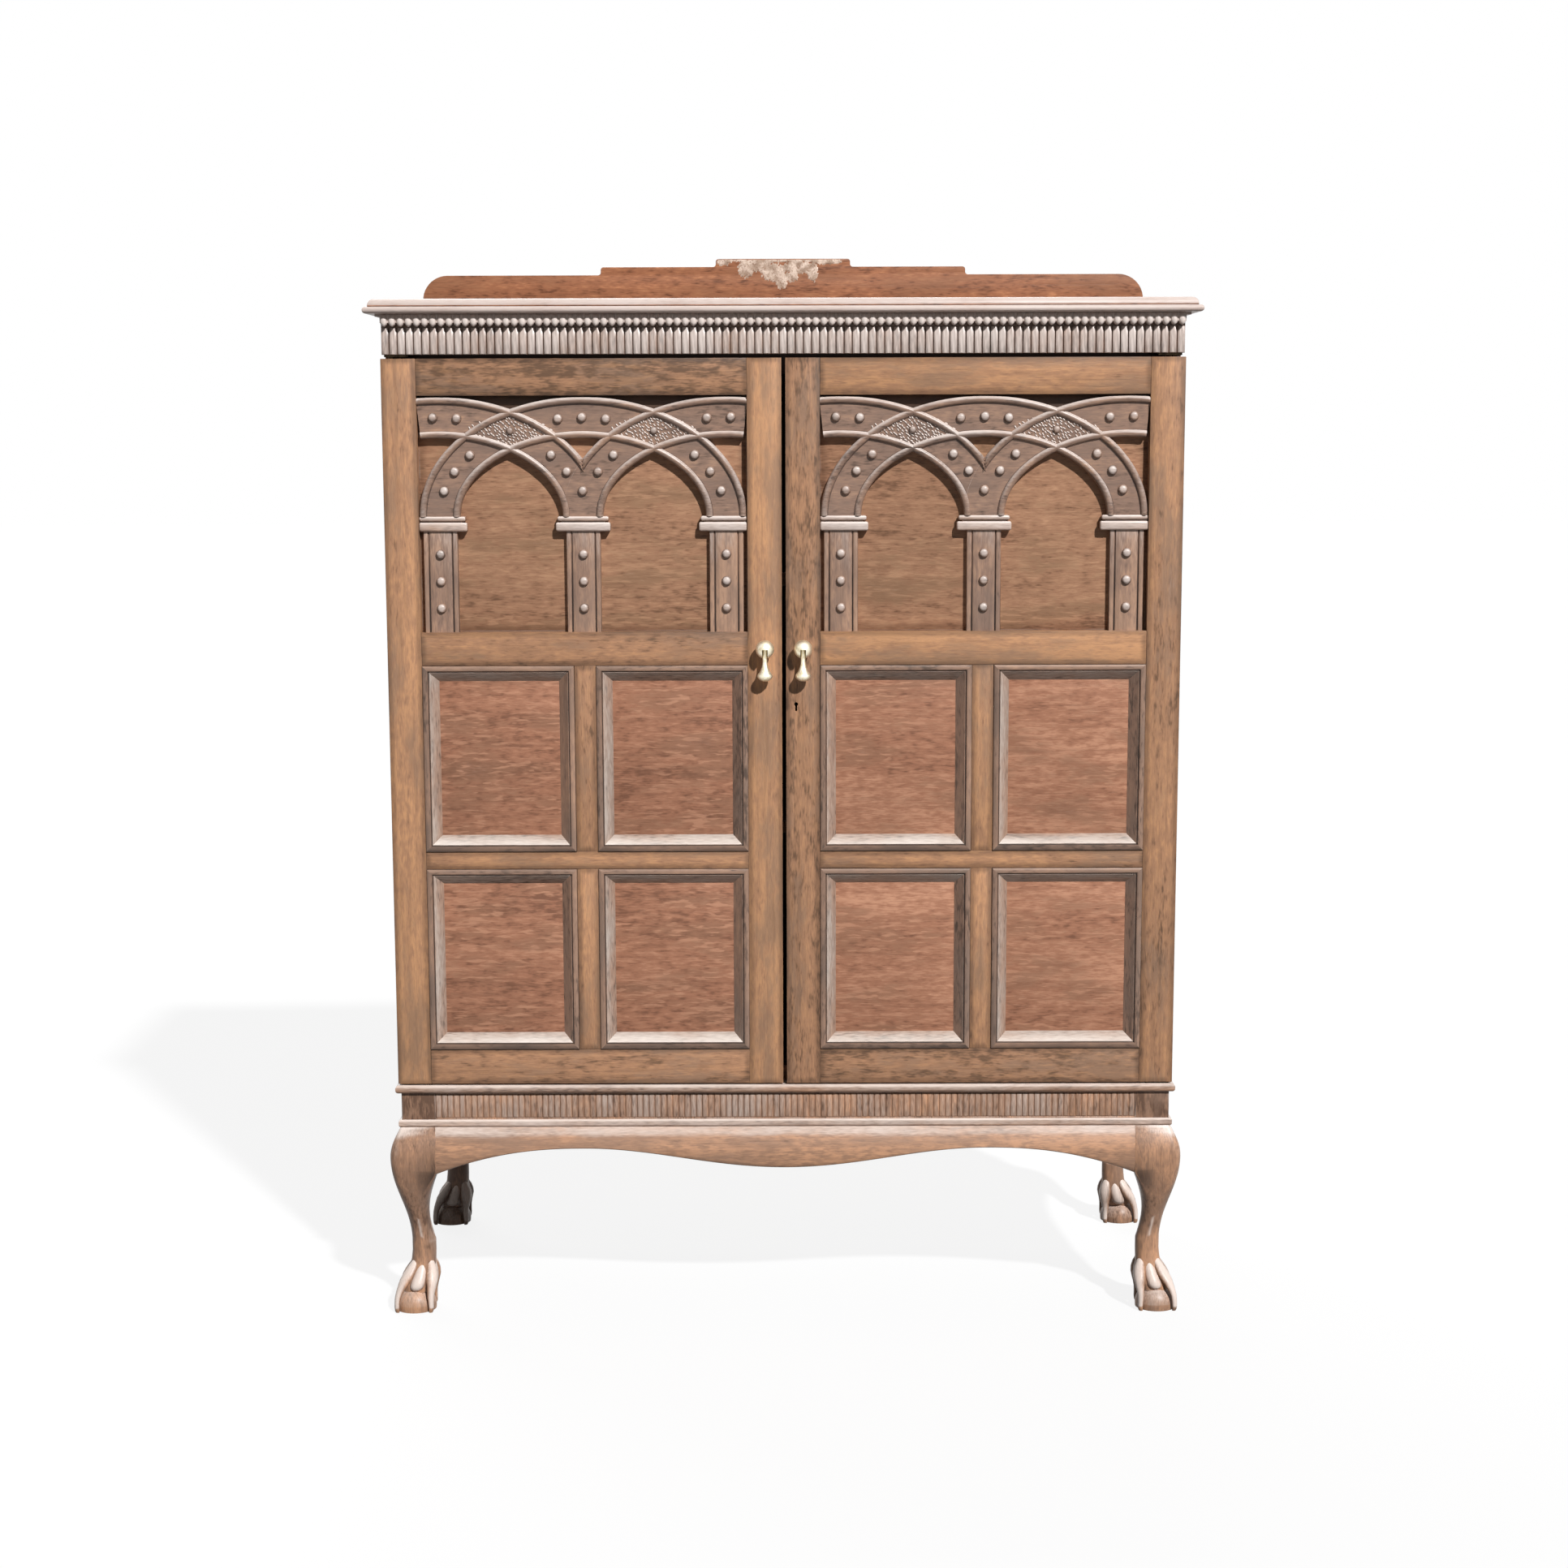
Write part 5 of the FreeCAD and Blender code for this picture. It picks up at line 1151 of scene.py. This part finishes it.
# %% The two friezes
reeded(
    "frieze", ["frieze_front", "frieze_strip"], "carved_wood", count=99, width=10.0, valley=-209.0,
    crest=-212.4, rise=(1256.8, 1290.5), plain=[(1296.0, 1307.0, -219.5)], wear_and_light=(-0.35, 0.6), lappets=10.26,
)
reeded(
    "base_frieze", ["base_front_rail"], "base_wood", count=118, width=7.6, valley=-207.2, crest=-208.5,
    rise=(264.5, 295.5), plain=[(252.0, 264.0, -208.3), (296.0, 298.0, -208.3)], wear_and_light=(-0.35, 0.32),
)

# %% [markdown]
# ## Aprons
# The apron swells forward from the waist moulding like the knees of the legs, and its lower edge is
# sawn in a slow wave. It is a grid of points: columns along the board, rows down the swelling face, and
# the last row on the sawn edge. The side aprons are the same form with a single arch, turned a quarter.

# %% Swell and sawn edges
WAIST, KNEE_LIP, KNEE_SWELL, KNEE_DROP = 252.0, 2.0, 16.0, 40.0
TUCK, TUCK_DROP = 4.0, 22.0
CREST_REACH, CREST_DROP, CENTRE_DROP, END_DROP = 265.0, 27.0, 53.0, 62.0
APRON_BACK, APRON_ARRIS, APRON_ROWS = -24.0, 1.2, 12
FRONT_POWER, SIDE_POWER = 2.4, 2.2  # how late the edge turns down to the legs
WAIST_PALE, PALE_DROP, PALE_FADE = 0.5, 8, 15


def swell(drop):
    """How far the face stands out at a depth below the waist."""
    if drop < KNEE_DROP:
        return KNEE_LIP + (KNEE_SWELL - KNEE_LIP) * math.sin(math.pi / 2 * drop / KNEE_DROP)
    return KNEE_SWELL - TUCK * ((drop - KNEE_DROP) / TUCK_DROP) ** 2


def front_edge(x, half):
    """Drop of the sawn edge: low in the middle, high at two crests, lowest at the legs."""
    away = abs(x)
    if away < CREST_REACH:
        return CREST_DROP + (CENTRE_DROP - CREST_DROP) * (1 + math.cos(math.pi * away / CREST_REACH)) / 2
    beyond = (away - CREST_REACH) / (half - CREST_REACH)
    return CREST_DROP + (END_DROP - CREST_DROP) * beyond ** FRONT_POWER


def side_edge(x, half):
    return CREST_DROP + (END_DROP - CREST_DROP) * (abs(x) / half) ** SIDE_POWER


def apron(form, half, edge, place, columns):
    """A swelling board along x, moved to its side by place(x, out, z)."""
    rings = []
    for step in range(columns + 1):
        x = -half + 2 * half * step / columns
        end = edge(x, half)
        ring = [place(x, APRON_BACK, WAIST)]
        for row in range(APRON_ROWS + 1):
            drop = (end - APRON_ARRIS) * row / APRON_ROWS
            ring.append(place(x, swell(drop), WAIST - drop))
        ring.append(place(x, swell(end) - APRON_ARRIS, WAIST - end))
        ring.append(place(x, APRON_BACK, WAIST - end))
        rings.append(ring)
    form.stack(rings)


def waist_sheen(z):
    """Painted sheen just under the waist, where the swell looks up to the key, fading down the swell."""
    return np.clip(WAIST_PALE - (WAIST - PALE_DROP - z) / PALE_FADE, 0, WAIST_PALE)


# The aprons' painted sheen under the waist.
def apron_sheen(spots):
    return waist_sheen(spots[:, 2] / MM)


# %% Front and side aprons
BASE_FRONT, BASE_BACK, CASE_HALF = -208.5, 223.5, 507.0
SIDE_MIDDLE = (BASE_FRONT + BASE_BACK) / 2
FRONT_HALF, SIDE_HALF = 462.0, 171.0
KNEE_TONE = 0.6
form = Form()
apron(form, FRONT_HALF, front_edge, lambda x, out, z: mm(x, BASE_FRONT - out, z), 160)
mesh = form.mesh("front_apron", 50)
mark(mesh, "x", whole=True, tone=KNEE_TONE, worn=apron_sheen, **flags(mesh))
finish("front_apron", mesh, "base_wood", "cabinet", ["apron_front"])

form = Form()
for way in (-1, 1):
    def beside_case(x, out, z):
        return mm(way * (CASE_HALF + out), SIDE_MIDDLE - way * x, z)

    apron(form, SIDE_HALF, side_edge, beside_case, 60)
mesh = form.mesh("side_aprons", 50)
mark(mesh, "y", tone=KNEE_TONE, worn=apron_sheen, **flags(mesh))
finish("side_aprons", mesh, "base_wood", "cabinet", ["apron_sides"])
print("side apron faces:", len(mesh.polygons))

# %% [markdown]
# ## Cabriole legs with ball and claw feet
# A leg is sawn from a square block in an S curve, rounded, and carved at the foot into a ball held by
# four toes. The S is a stack of rounded squares whose outer and inner faces follow waves from waist to
# knee to ankle. Toes are round rods that leave the ankle as tendons, bend over a knuckle and end in a
# claw on the floor. Four shorter rods between them end on top of the ball.

# %% Measures of a leg
BLOCK, BLOCK_TOP, KNEE_Z, ANKLE_Z = 45.0, 298, 212.0, 92.0
ANKLE_FACE, ANKLE_LOW, FOOT_MIDDLE, INNER_HOLLOW = -7.0, -38.5, -11.5, 10.0
WAIST_CORNER, KNEE_CORNER, ANKLE_CORNER = 3.0, 12.0, 15.0
FOOT = [  # height, middle, half width and corner radius of the solid part of the foot
    (ANKLE_Z, -22.75, 15.75, 14.5), (78, -22.8, 15.8, 14.5), (66, -22.0, 16.2, 14.0), (56, -20.6, 17.2, 13.5),
    (47, -18.6, 18.4, 13.0), (40, -16.6, 19.0, 12.5), (34, -14.9, 18.8, 12.0), (25, -12.5, 17.0, 11.0),
    (18, FOOT_MIDDLE, 16.0, 10.0), (0, FOOT_MIDDLE, 16.0, 10.0),
]
TOE = [  # height, reach from the middle of the foot, half width
    (69, 12.6, 2.0), (63, 15.2, 5.2), (56, 18.4, 7.6), (49, 21.6, 8.8), (42, 24.8, 8.6), (35, 27.4, 7.0),
    (28, 29.4, 5.6), (21, 30.8, 4.6), (14, 31.8, 4.0), (8, 32.2, 3.8), (3, 32.0, 3.4), (0.3, 31.2, 2.8),
]
TENDON = [  # the same for the rods between the toes
    (67, 11.8, 2.0), (60, 13.0, 5.0), (53, 14.2, 7.4), (46, 15.4, 9.0), (40, 16.4, 9.8), (35, 16.8, 9.8),
    (31, 16.4, 8.6), (28, 15.2, 5.4),
]
ROD_SIDES, ROD_DEPTH, ROD_RUB_AND_SHEEN, ROD_SHADE, CLAW_Z = 14, 0.85, 0.65, 0.15, 4
BALL_RADIUS, BALL_Z, BALL_SIDES, BALL_LOW = 27.4, 4.5, 36, 0.1
BALL_TURNS = [-26, -25, -18, -9, 0, 9, 18, 27, 36, 45, 54, 63, 72, 81]  # the first one closes its sole
SOLE_SHARE, FLOOR_DARK = 0.7, -0.9


def between(z, places):
    """Values of a table of heights at one height."""
    rows = np.array(places)[::-1]
    return [float(np.interp(z, rows[:, 0], rows[:, column])) for column in range(1, rows.shape[1])]


def leg_faces(z):
    """Outer and inner face of the leg, measured outwards from the block's face, and its corner radius."""
    if z > KNEE_Z:
        share = math.sin(math.pi / 2 * (WAIST - z) / (WAIST - KNEE_Z))
        corner = WAIST_CORNER + (KNEE_CORNER - WAIST_CORNER) * share
        return KNEE_LIP + (KNEE_SWELL - KNEE_LIP) * share, -BLOCK, corner
    if z > ANKLE_Z:
        part = (KNEE_Z - z) / (KNEE_Z - ANKLE_Z)
        share = (1 - math.cos(math.pi * part)) / 2
        hollow = max(0.0, (WAIST - END_DROP - z) / (WAIST - END_DROP - ANKLE_Z))
        low = -BLOCK + (ANKLE_LOW + BLOCK) * hollow + INNER_HOLLOW * math.sin(math.pi * hollow)
        corner = KNEE_CORNER + (ANKLE_CORNER - KNEE_CORNER) * share
        return KNEE_SWELL + (ANKLE_FACE - KNEE_SWELL) * share, low, corner
    middle, half, radius = between(z, FOOT)
    return middle + half, middle - half, radius


# %% Parts of a leg
LEVELS = [WAIST - 4 * step for step in range(41)] + [88 - 3 * step for step in range(22)]
CORNER_STEPS, SQUARE_CORNER = 6, 0.8
FLUSH_LOW, FLUSH_RUN = 150, 45  # above, the inner corners grow square to meet the aprons
CORE_TOP, CORE_RUN, CORE_SHADE = 84, 16, 0.15


def shaft(form, spot):
    """The S from the waist down to the inside of the foot."""
    rings, wear_and_light = [], []
    outer = CORNER_STEPS + 1
    for z in LEVELS:
        face, low, radius = leg_faces(z)
        flush = unit((z - FLUSH_LOW) / FLUSH_RUN)
        widest = (face - low) / 2 - 0.1
        inner = min(radius + (SQUARE_CORNER - radius) * flush, widest)
        radii = [min(radius, widest)] + [inner] * 3
        ring = rounded((low, low), (face, face), radii, radii, CORNER_STEPS)
        rings.append([spot(a, b, z) for a, b in ring])
        # Painted sheen under the waist, and painted shade on the foot's core between the toes; the inner
        # corners grow darker as they meet the aprons.
        rubbed_and_lit = waist_sheen(z) - CORE_SHADE * unit((CORE_TOP - z) / CORE_RUN)
        wear_and_light.append([rubbed_and_lit] * outer + [rubbed_and_lit - flush] * (3 * outer))
    form.stack(rings, stain=wear_and_light)


def rod(form, spot, stations, turn):
    """A tapering round rod, palest on its crest, rubbed and with a painted highlight, and darkest where it
    lies on the foot, as painted shade; each station is height, reach and half width.
    """
    rings, wear_and_light = [], []
    crests = [crest for crest, aside in circle(1, ROD_SIDES)]
    for z, reach, half in stations:
        middle = between(z, FOOT)[0]
        ring = []
        for across, aside in circle(half, ROD_SIDES):
            away = reach + ROD_DEPTH * across
            a = middle + away * math.cos(turn) - aside * math.sin(turn)
            b = middle + away * math.sin(turn) + aside * math.cos(turn)
            ring.append(spot(a, b, z))
        rings.append(ring)
        # A claw's tip at the floor is dark.
        wear_and_light.append([FLOOR_DARK if z < CLAW_Z else ROD_RUB_AND_SHEEN * crest - ROD_SHADE for crest in crests])
    form.stack(rings, stain=wear_and_light)


def claw_ball(form, spot):
    rings = []
    for place, turn in enumerate(map(math.radians, BALL_TURNS)):
        reach = BALL_RADIUS * math.cos(turn) * (1.0 if place else SOLE_SHARE)
        z = max(BALL_Z + BALL_RADIUS * math.sin(turn), BALL_LOW)
        ring = circle(reach, BALL_SIDES)
        rings.append([spot(FOOT_MIDDLE + a, FOOT_MIDDLE + b, z) for a, b in ring])
    # The ball's underside and its lowest band are painted dark, as shade at the floor; its upper part is a
    # little pale.
    form.stack(rings, stain=[FLOOR_DARK if turn < 0 else -0.3 if turn < 9 else 0.1 for turn in BALL_TURNS])


# %% Four legs
TONE_Z = [90, 120, 185]
LEGS = {  # outward signs along X and Y, and the tones of ankle, calf and knee
    "front_left": (-1, -1, (0.7, -0.3, 0.1)), "front_right": (1, -1, (0.6, -0.5, KNEE_TONE)),
    # The back left leg's dark ankle and calf are painted shade, under the case and away from the key.
    "back_left": (-1, 1, (-1.4, -1.2, 0.0)), "back_right": (1, 1, (0.1, -0.3, 0.3)),
}


def leg(name, node, sign_x, sign_y, tones):
    """One leg; outwards is sign_x along X and sign_y along Y from the block's outer faces."""
    face_x = sign_x * CASE_HALF
    face_y = BASE_FRONT if sign_y < 0 else BASE_BACK

    def spot(out_x, out_y, z):
        return mm(face_x + sign_x * out_x, face_y + sign_y * out_y, z)

    form = Form()
    shaft(form, spot)
    xs = sorted((face_x, face_x - sign_x * BLOCK))
    ys = sorted((face_y, face_y - sign_y * BLOCK))
    form.bar(mm(xs[0], ys[0], WAIST - 1), mm(xs[1], ys[1], BLOCK_TOP), 1.0 * MM)
    claw_ball(form, spot)
    for quarter in range(4):
        rod(form, spot, TOE, math.radians(45 + 90 * quarter))
        rod(form, spot, TENDON, math.radians(90 * quarter))
    mesh = form.mesh(name, 60)
    found = flags(mesh)
    heights = np.array([vert.co.z for vert in mesh.vertices]) / MM
    shade = np.interp(heights, TONE_Z, tones)
    # Faces that look up get a painted sheen, those that look down a little painted shade.
    mark(mesh, "z", tone=np.where(found["carved"], shade, -1.0), painted_top_light=0.25, **found)
    return finish(name, mesh, "base_wood", "cabinet", [node])


for label, row in LEGS.items():
    piece = leg(f"{label}_cabriole", f"{label}_leg", *row)
    print(piece.name, "faces:", len(piece.data.polygons))

# %% [markdown]
# ## Brass
# The pulls are turned: a ball on a stem, and a drop that hangs from a pin in a slot of the ball. They
# are rings round an axis. The slot is cut with a Boolean, because a lathe can't make it. The pivots, the
# lock and the bolts are hidden when the doors are shut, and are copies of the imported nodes.

# %% Pulls
PULL_X, PULL_Z = 24.5, 884.0
BOSS_RADIUS, STANDOFF, TURNED_SIDES = 11.9, 15.0, 40
PIVOT_Y = DOOR_FRONT - STANDOFF
BOSS = [(6.4, 0.0), (6.6, 0.8), (5.6, 1.6), (5.0, 2.6)]  # radius, and distance from the door
for turn in map(math.radians, range(-62, 88, 6)):
    BOSS.append((BOSS_RADIUS * math.cos(turn), STANDOFF + BOSS_RADIUS * math.sin(turn)))
DROP = [  # radius, and height from the pin
    (1.2, 5.0), (2.6, 4.2), (3.0, 2.0), (3.0, -12.0), (2.9, -15.0), (3.3, -19.0), (4.2, -23.0), (5.8, -27.0),
    (7.8, -30.2), (9.3, -32.0), (9.9, -33.4), (10.0, -34.6), (9.8, -35.8), (9.0, -37.0), (7.6, -38.6),
    (5.4, -40.2), (2.6, -40.9), (0.5, -41.0),
]
SLOT_HALF, SLOT_REACH, SLOT_BACK, SLOT_ARRIS = 3.6, 14, 5, 0.3
SHADED, STEM_Y, STEM_DIRT = 0.6, 9, -0.2


def turned(name, profile, place):
    rings = []
    for radius, along in profile:
        rings.append([place(a, b, along) for a, b in circle(radius, TURNED_SIDES)])
    return skin(name, rings, 40)


for side, x in (("left", -PULL_X), ("right", PULL_X)):
    blank = turned(f"{side}_boss_blank", BOSS, lambda a, b, out: mm(x + a, DOOR_FRONT - out, PULL_Z + b))
    ball = linked(f"{side}_boss_blank", blank)
    cutter = Form()
    low = mm(x - SLOT_HALF, PIVOT_Y - SLOT_REACH, PULL_Z - SLOT_REACH)
    cutter.bar(low, mm(x + SLOT_HALF, PIVOT_Y + SLOT_BACK, PULL_Z), SLOT_ARRIS * MM)
    mesh = cutter.mesh("slot_blank", 40)
    flags(mesh)
    slot = linked("slot_blank", mesh)
    cut = ball.modifiers.new("slot", "BOOLEAN")
    cut.operation = "DIFFERENCE"
    cut.object = slot
    mesh = evaluated(f"{side}_pull_ball", ball)
    bpy.data.objects.remove(ball)
    bpy.data.objects.remove(slot)
    away = np.array([vert.co for vert in mesh.vertices]) / MM - np.array((x, PIVOT_Y, PULL_Z))
    inside = np.linalg.norm(away, axis=1) < BOSS_RADIUS - SHADED
    put(mesh, "worn", "FLOAT", np.where(inside | (away[:, 1] > STEM_Y), STEM_DIRT, 0.0))
    smooth(mesh, 35)
    finish(f"{side}_pull_ball", mesh, "brass", f"{side}_door", [f"{side}_pull_boss"])
    mesh = turned(f"{side}_drop", DROP, lambda a, b, up: mm(x + a, PIVOT_Y + b, PULL_Z + up))
    finish(f"{side}_drop", mesh, "brass", f"{side}_pull", [f"{side}_pull_drop"])
    print(side, "pull faces:", len(mesh.polygons))

# %% Small metalwork
SMALL_METAL = [  # slot, body, node, arris and finish; a pivot has no arris, because it would rub
    # The pivots take a brass painted nearly black, as the shade in the gaps where they sit.
    ("brass", "cabinet", "pivot_sockets", 0, SHADED_BRASS),
    ("brass", "left_door", "left_pivot_pins", 0, SHADED_BRASS),
    ("brass", "right_door", "right_pivot_pins", 0, SHADED_BRASS),
    ("brass", "left_door", "left_bolt_case", METAL_ARRIS, None),
    ("brass", "right_door", "lock_case", METAL_ARRIS, None),
    ("brass", "cupboard_bolt", "cupboard_bolt", METAL_ARRIS, None),
    ("steel", "lock_bolt", "lock_bolt", METAL_ARRIS, None),
]
for slot, body, node, arris, material in SMALL_METAL:
    finish(f"{node}_finished", copied(node, arris), slot, body, [node], material)
print("small metal pieces:", len(SMALL_METAL))

# %% [markdown]
# ## Old residue on the gallery
# The middle of the gallery has lost a planted ornament, and pale, crusted glue is left in its place.
# It is a thin sheet cut to a ragged outline: a grid is kept where the best of some lobes, with a few
# waves added, is above zero.

# %% Outline of the patch
LOBES = [  # middle, half width and half height of each lobe
    (-83, 1395, 12, 6.5), (-52, 1386, 13, 15), (-36, 1390, 20, 10), (-12, 1380, 20, 14), (-2, 1366, 9, 10),
    (12, 1374, 10, 8), (22, 1387, 26, 10), (42, 1380, 9, 14), (60, 1395, 26, 4.5), (-10, 1397, 84, 3.2),
]
CELL, PATCH_LEFT, PATCH_LOW, PATCH_COLUMNS = 1.3, -93.5, 1355.0, 144
TOP_GAP, RIM_SINK, BACK_SINK = 0.4, 0.1, 0.3


def ragged(x, z):
    """Above zero on the patch: the best lobe, with a ragged edge from a few crossed waves."""
    best = max(1 - ((x - a) / rx) ** 2 - ((z - b) / rz) ** 2 for a, b, rx, rz in LOBES)
    waves = math.sin(0.9 * x + 1.3 * z) + math.sin(1.7 * x - 0.8 * z + 2) + math.sin(0.5 * x + 2.3 * z + 4)
    return best + 0.16 * waves - 0.05


def cell(i, j):
    return ((i, j), (i + 1, j), (i + 1, j + 1), (i, j + 1))


def crust(z_high, board):
    """A thin closed sheet over the cells inside the ragged outline."""
    rows = int((z_high - PATCH_LOW) / CELL)
    inside = {
        (i, j) for i in range(PATCH_COLUMNS) for j in range(rows)
        if ragged(PATCH_LEFT + CELL * (i + 0.5), PATCH_LOW + CELL * (j + 0.5)) > 0
    }
    corners = {}
    for i, j in inside:
        for spot in cell(i, j):
            corners[spot] = corners.get(spot, 0) + 1
    spots, front, back = [], {}, {}
    for (i, j), count in sorted(corners.items()):
        x, z = PATCH_LEFT + CELL * i, PATCH_LOW + CELL * j
        front[i, j] = back[i, j] = len(spots)
        if count < 4:
            spots.append(mm(x, board + RIM_SINK, z))
            continue
        rise = 0.8 + 0.35 * math.sin(0.31 * x + 0.23 * z) + 0.25 * math.sin(0.47 * z - 0.29 * x)
        spots.append(mm(x, board - rise, z))
        back[i, j] = len(spots)
        spots.append(mm(x, board + BACK_SINK, z))
    faces = []
    for i, j in sorted(inside):
        faces.append(tuple(front[spot] for spot in cell(i, j)))
        faces.append(tuple(back[spot] for spot in reversed(cell(i, j))))
    mesh = bpy.data.meshes.new("glue_patch")
    mesh.from_pydata(spots, [], faces)
    smooth(mesh, 60)
    return mesh


# %% Glue patch
def glue():
    material, g = new_finish("old_glue")
    place = g.node("ShaderNodeTexCoord", out="Object")
    cloud = g.noise(place, (90, 90, 90), 4)
    fine = g.noise(place, (420, 420, 420), 3)
    colour = g.mix(g.ramp(cloud, 0.38, 0.62), shown(170, 148, 130), shown(222, 204, 188))
    colour = g.mix(g.ramp(fine, 0.54, 0.66) * 0.7, colour, shown(134, 100, 78))
    g.surface(colour, 0.7 + 0.2 * fine, fine, 0.6, 0.001, {})
    return material


gallery_low, gallery_high = (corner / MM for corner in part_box("gallery"))
patch = crust(gallery_high.z - TOP_GAP, gallery_low.y)
finish("glue_patch", patch, "case_wood", "cabinet", ["gallery"], glue())
print("glue patch faces:", len(patch.polygons))

# %% [markdown]
# ## Stage, camera and light
# A pale floor and a white backdrop, a key light from the upper right, a weak soft light for the back,
# and a soft fill. What the camera sees of floor and backdrop is brighter than the light they give, so
# the picture is white and the cabinet isn't washed out. The camera has the place and lens worked out
# from the lines of the doors: it stands 3.5 m in front of them, looks down by nine degrees, and its
# lens is shifted a little.

# %% Floor
FLOOR_HALF = 30
FLOOR_FILL, FLOOR_SHOWN, FLOOR_GLOW = 0.13, 0.85, 0.86


def grey(level):
    return (level, level, level, 1)


def looked_at(g):
    """One where a ray comes from the camera or from a mirror or glass, and zero where it carries light."""
    camera_ray = g.node("ShaderNodeLightPath", out="Is Camera Ray")
    seen = camera_ray.most(camera_ray.beside("Is Glossy Ray"))
    return seen.most(camera_ray.beside("Is Transmission Ray"))


def blended(g, share, one, other):
    return g.node("ShaderNodeMixShader", None, {0: share, 1: one, 2: other})


floor_mesh = bpy.data.meshes.new("floor")
floor_mesh.from_pydata([(x * FLOOR_HALF, y * FLOOR_HALF, 0) for x, y in CORNERS], [], [(0, 1, 2, 3)])
floor = linked("floor", floor_mesh)
material, g = new_finish("floor_white")
seen = looked_at(g)
dull = g.node("ShaderNodeBsdfDiffuse", None, {"Color": grey(FLOOR_FILL)})
paint = g.node("ShaderNodeBsdfDiffuse", None, {"Color": grey(FLOOR_SHOWN)})
white = g.node("ShaderNodeEmission", None, {"Color": grey(1), "Strength": 1.0})
lit = blended(g, seen, dull, paint)
g.node("ShaderNodeOutputMaterial", None, {0: blended(g, seen * FLOOR_GLOW, lit, white)})
floor_mesh.materials.append(material)
print("floor:", 2 * FLOOR_HALF, "m square")

# %% Backdrop and lamps
FILL_LOW, FILL_HIGH = 0.05, 0.16
LAMPS = {  # strength, softness in degrees, and the way the light goes
    "key": (4.1, 2.5, (-0.35, 0.70, -0.63)), "back": (1.6, 50, (0.25, -0.80, -0.55)),
}
world = bpy.data.worlds.new("backdrop")
scene.world = world
world.use_nodes = True
g = Graph(world.node_tree)
above = g.node("ShaderNodeSeparateXYZ", None, {0: g.node("ShaderNodeTexCoord", out="Generated")}).beside(2)
low, high, white = (
    g.node("ShaderNodeBackground", None, {"Color": grey(level), "Strength": 1.0})
    for level in (FILL_LOW, FILL_HIGH, 1.0)
)
soft = blended(g, g.ramp(above, -0.1, 0.9), low, high)
g.node("ShaderNodeOutputWorld", None, {0: blended(g, looked_at(g), soft, white)})
for name, (strength, softness, way) in LAMPS.items():
    light = bpy.data.lights.new(name, "SUN")
    light.energy = strength
    light.angle = math.radians(softness)
    linked(name, light).rotation_euler = Vector(way).to_track_quat("-Z", "Y").to_euler()
print("lamps:", sorted(LAMPS))

# %% Camera
IMAGE, SENSOR = 1932, 36.0  # pixels, mm
FOCAL, SHIFT_X, SHIFT_Y = 3382.7, -0.7, 96.0  # pixels
EYE, LOOK_DOWN, ROLL = (0.0, -3.7424, 1.165), 8.997, -0.16  # metres, degrees
camera = bpy.data.cameras.new("camera")
camera.sensor_width = SENSOR
camera.lens = SENSOR * FOCAL / IMAGE
camera.shift_x = SHIFT_X / IMAGE
camera.shift_y = SHIFT_Y / IMAGE
camera.clip_end = 200
eye = linked("camera", camera)
eye.location = EYE
tilt = Matrix.Rotation(math.radians(90 - LOOK_DOWN), 3, "X")
eye.rotation_euler = (tilt @ Matrix.Rotation(math.radians(ROLL), 3, "Z")).to_euler()
scene.camera = eye
scene.view_settings.view_transform = "Standard"
print("camera lens", round(camera.lens, 2), "mm")
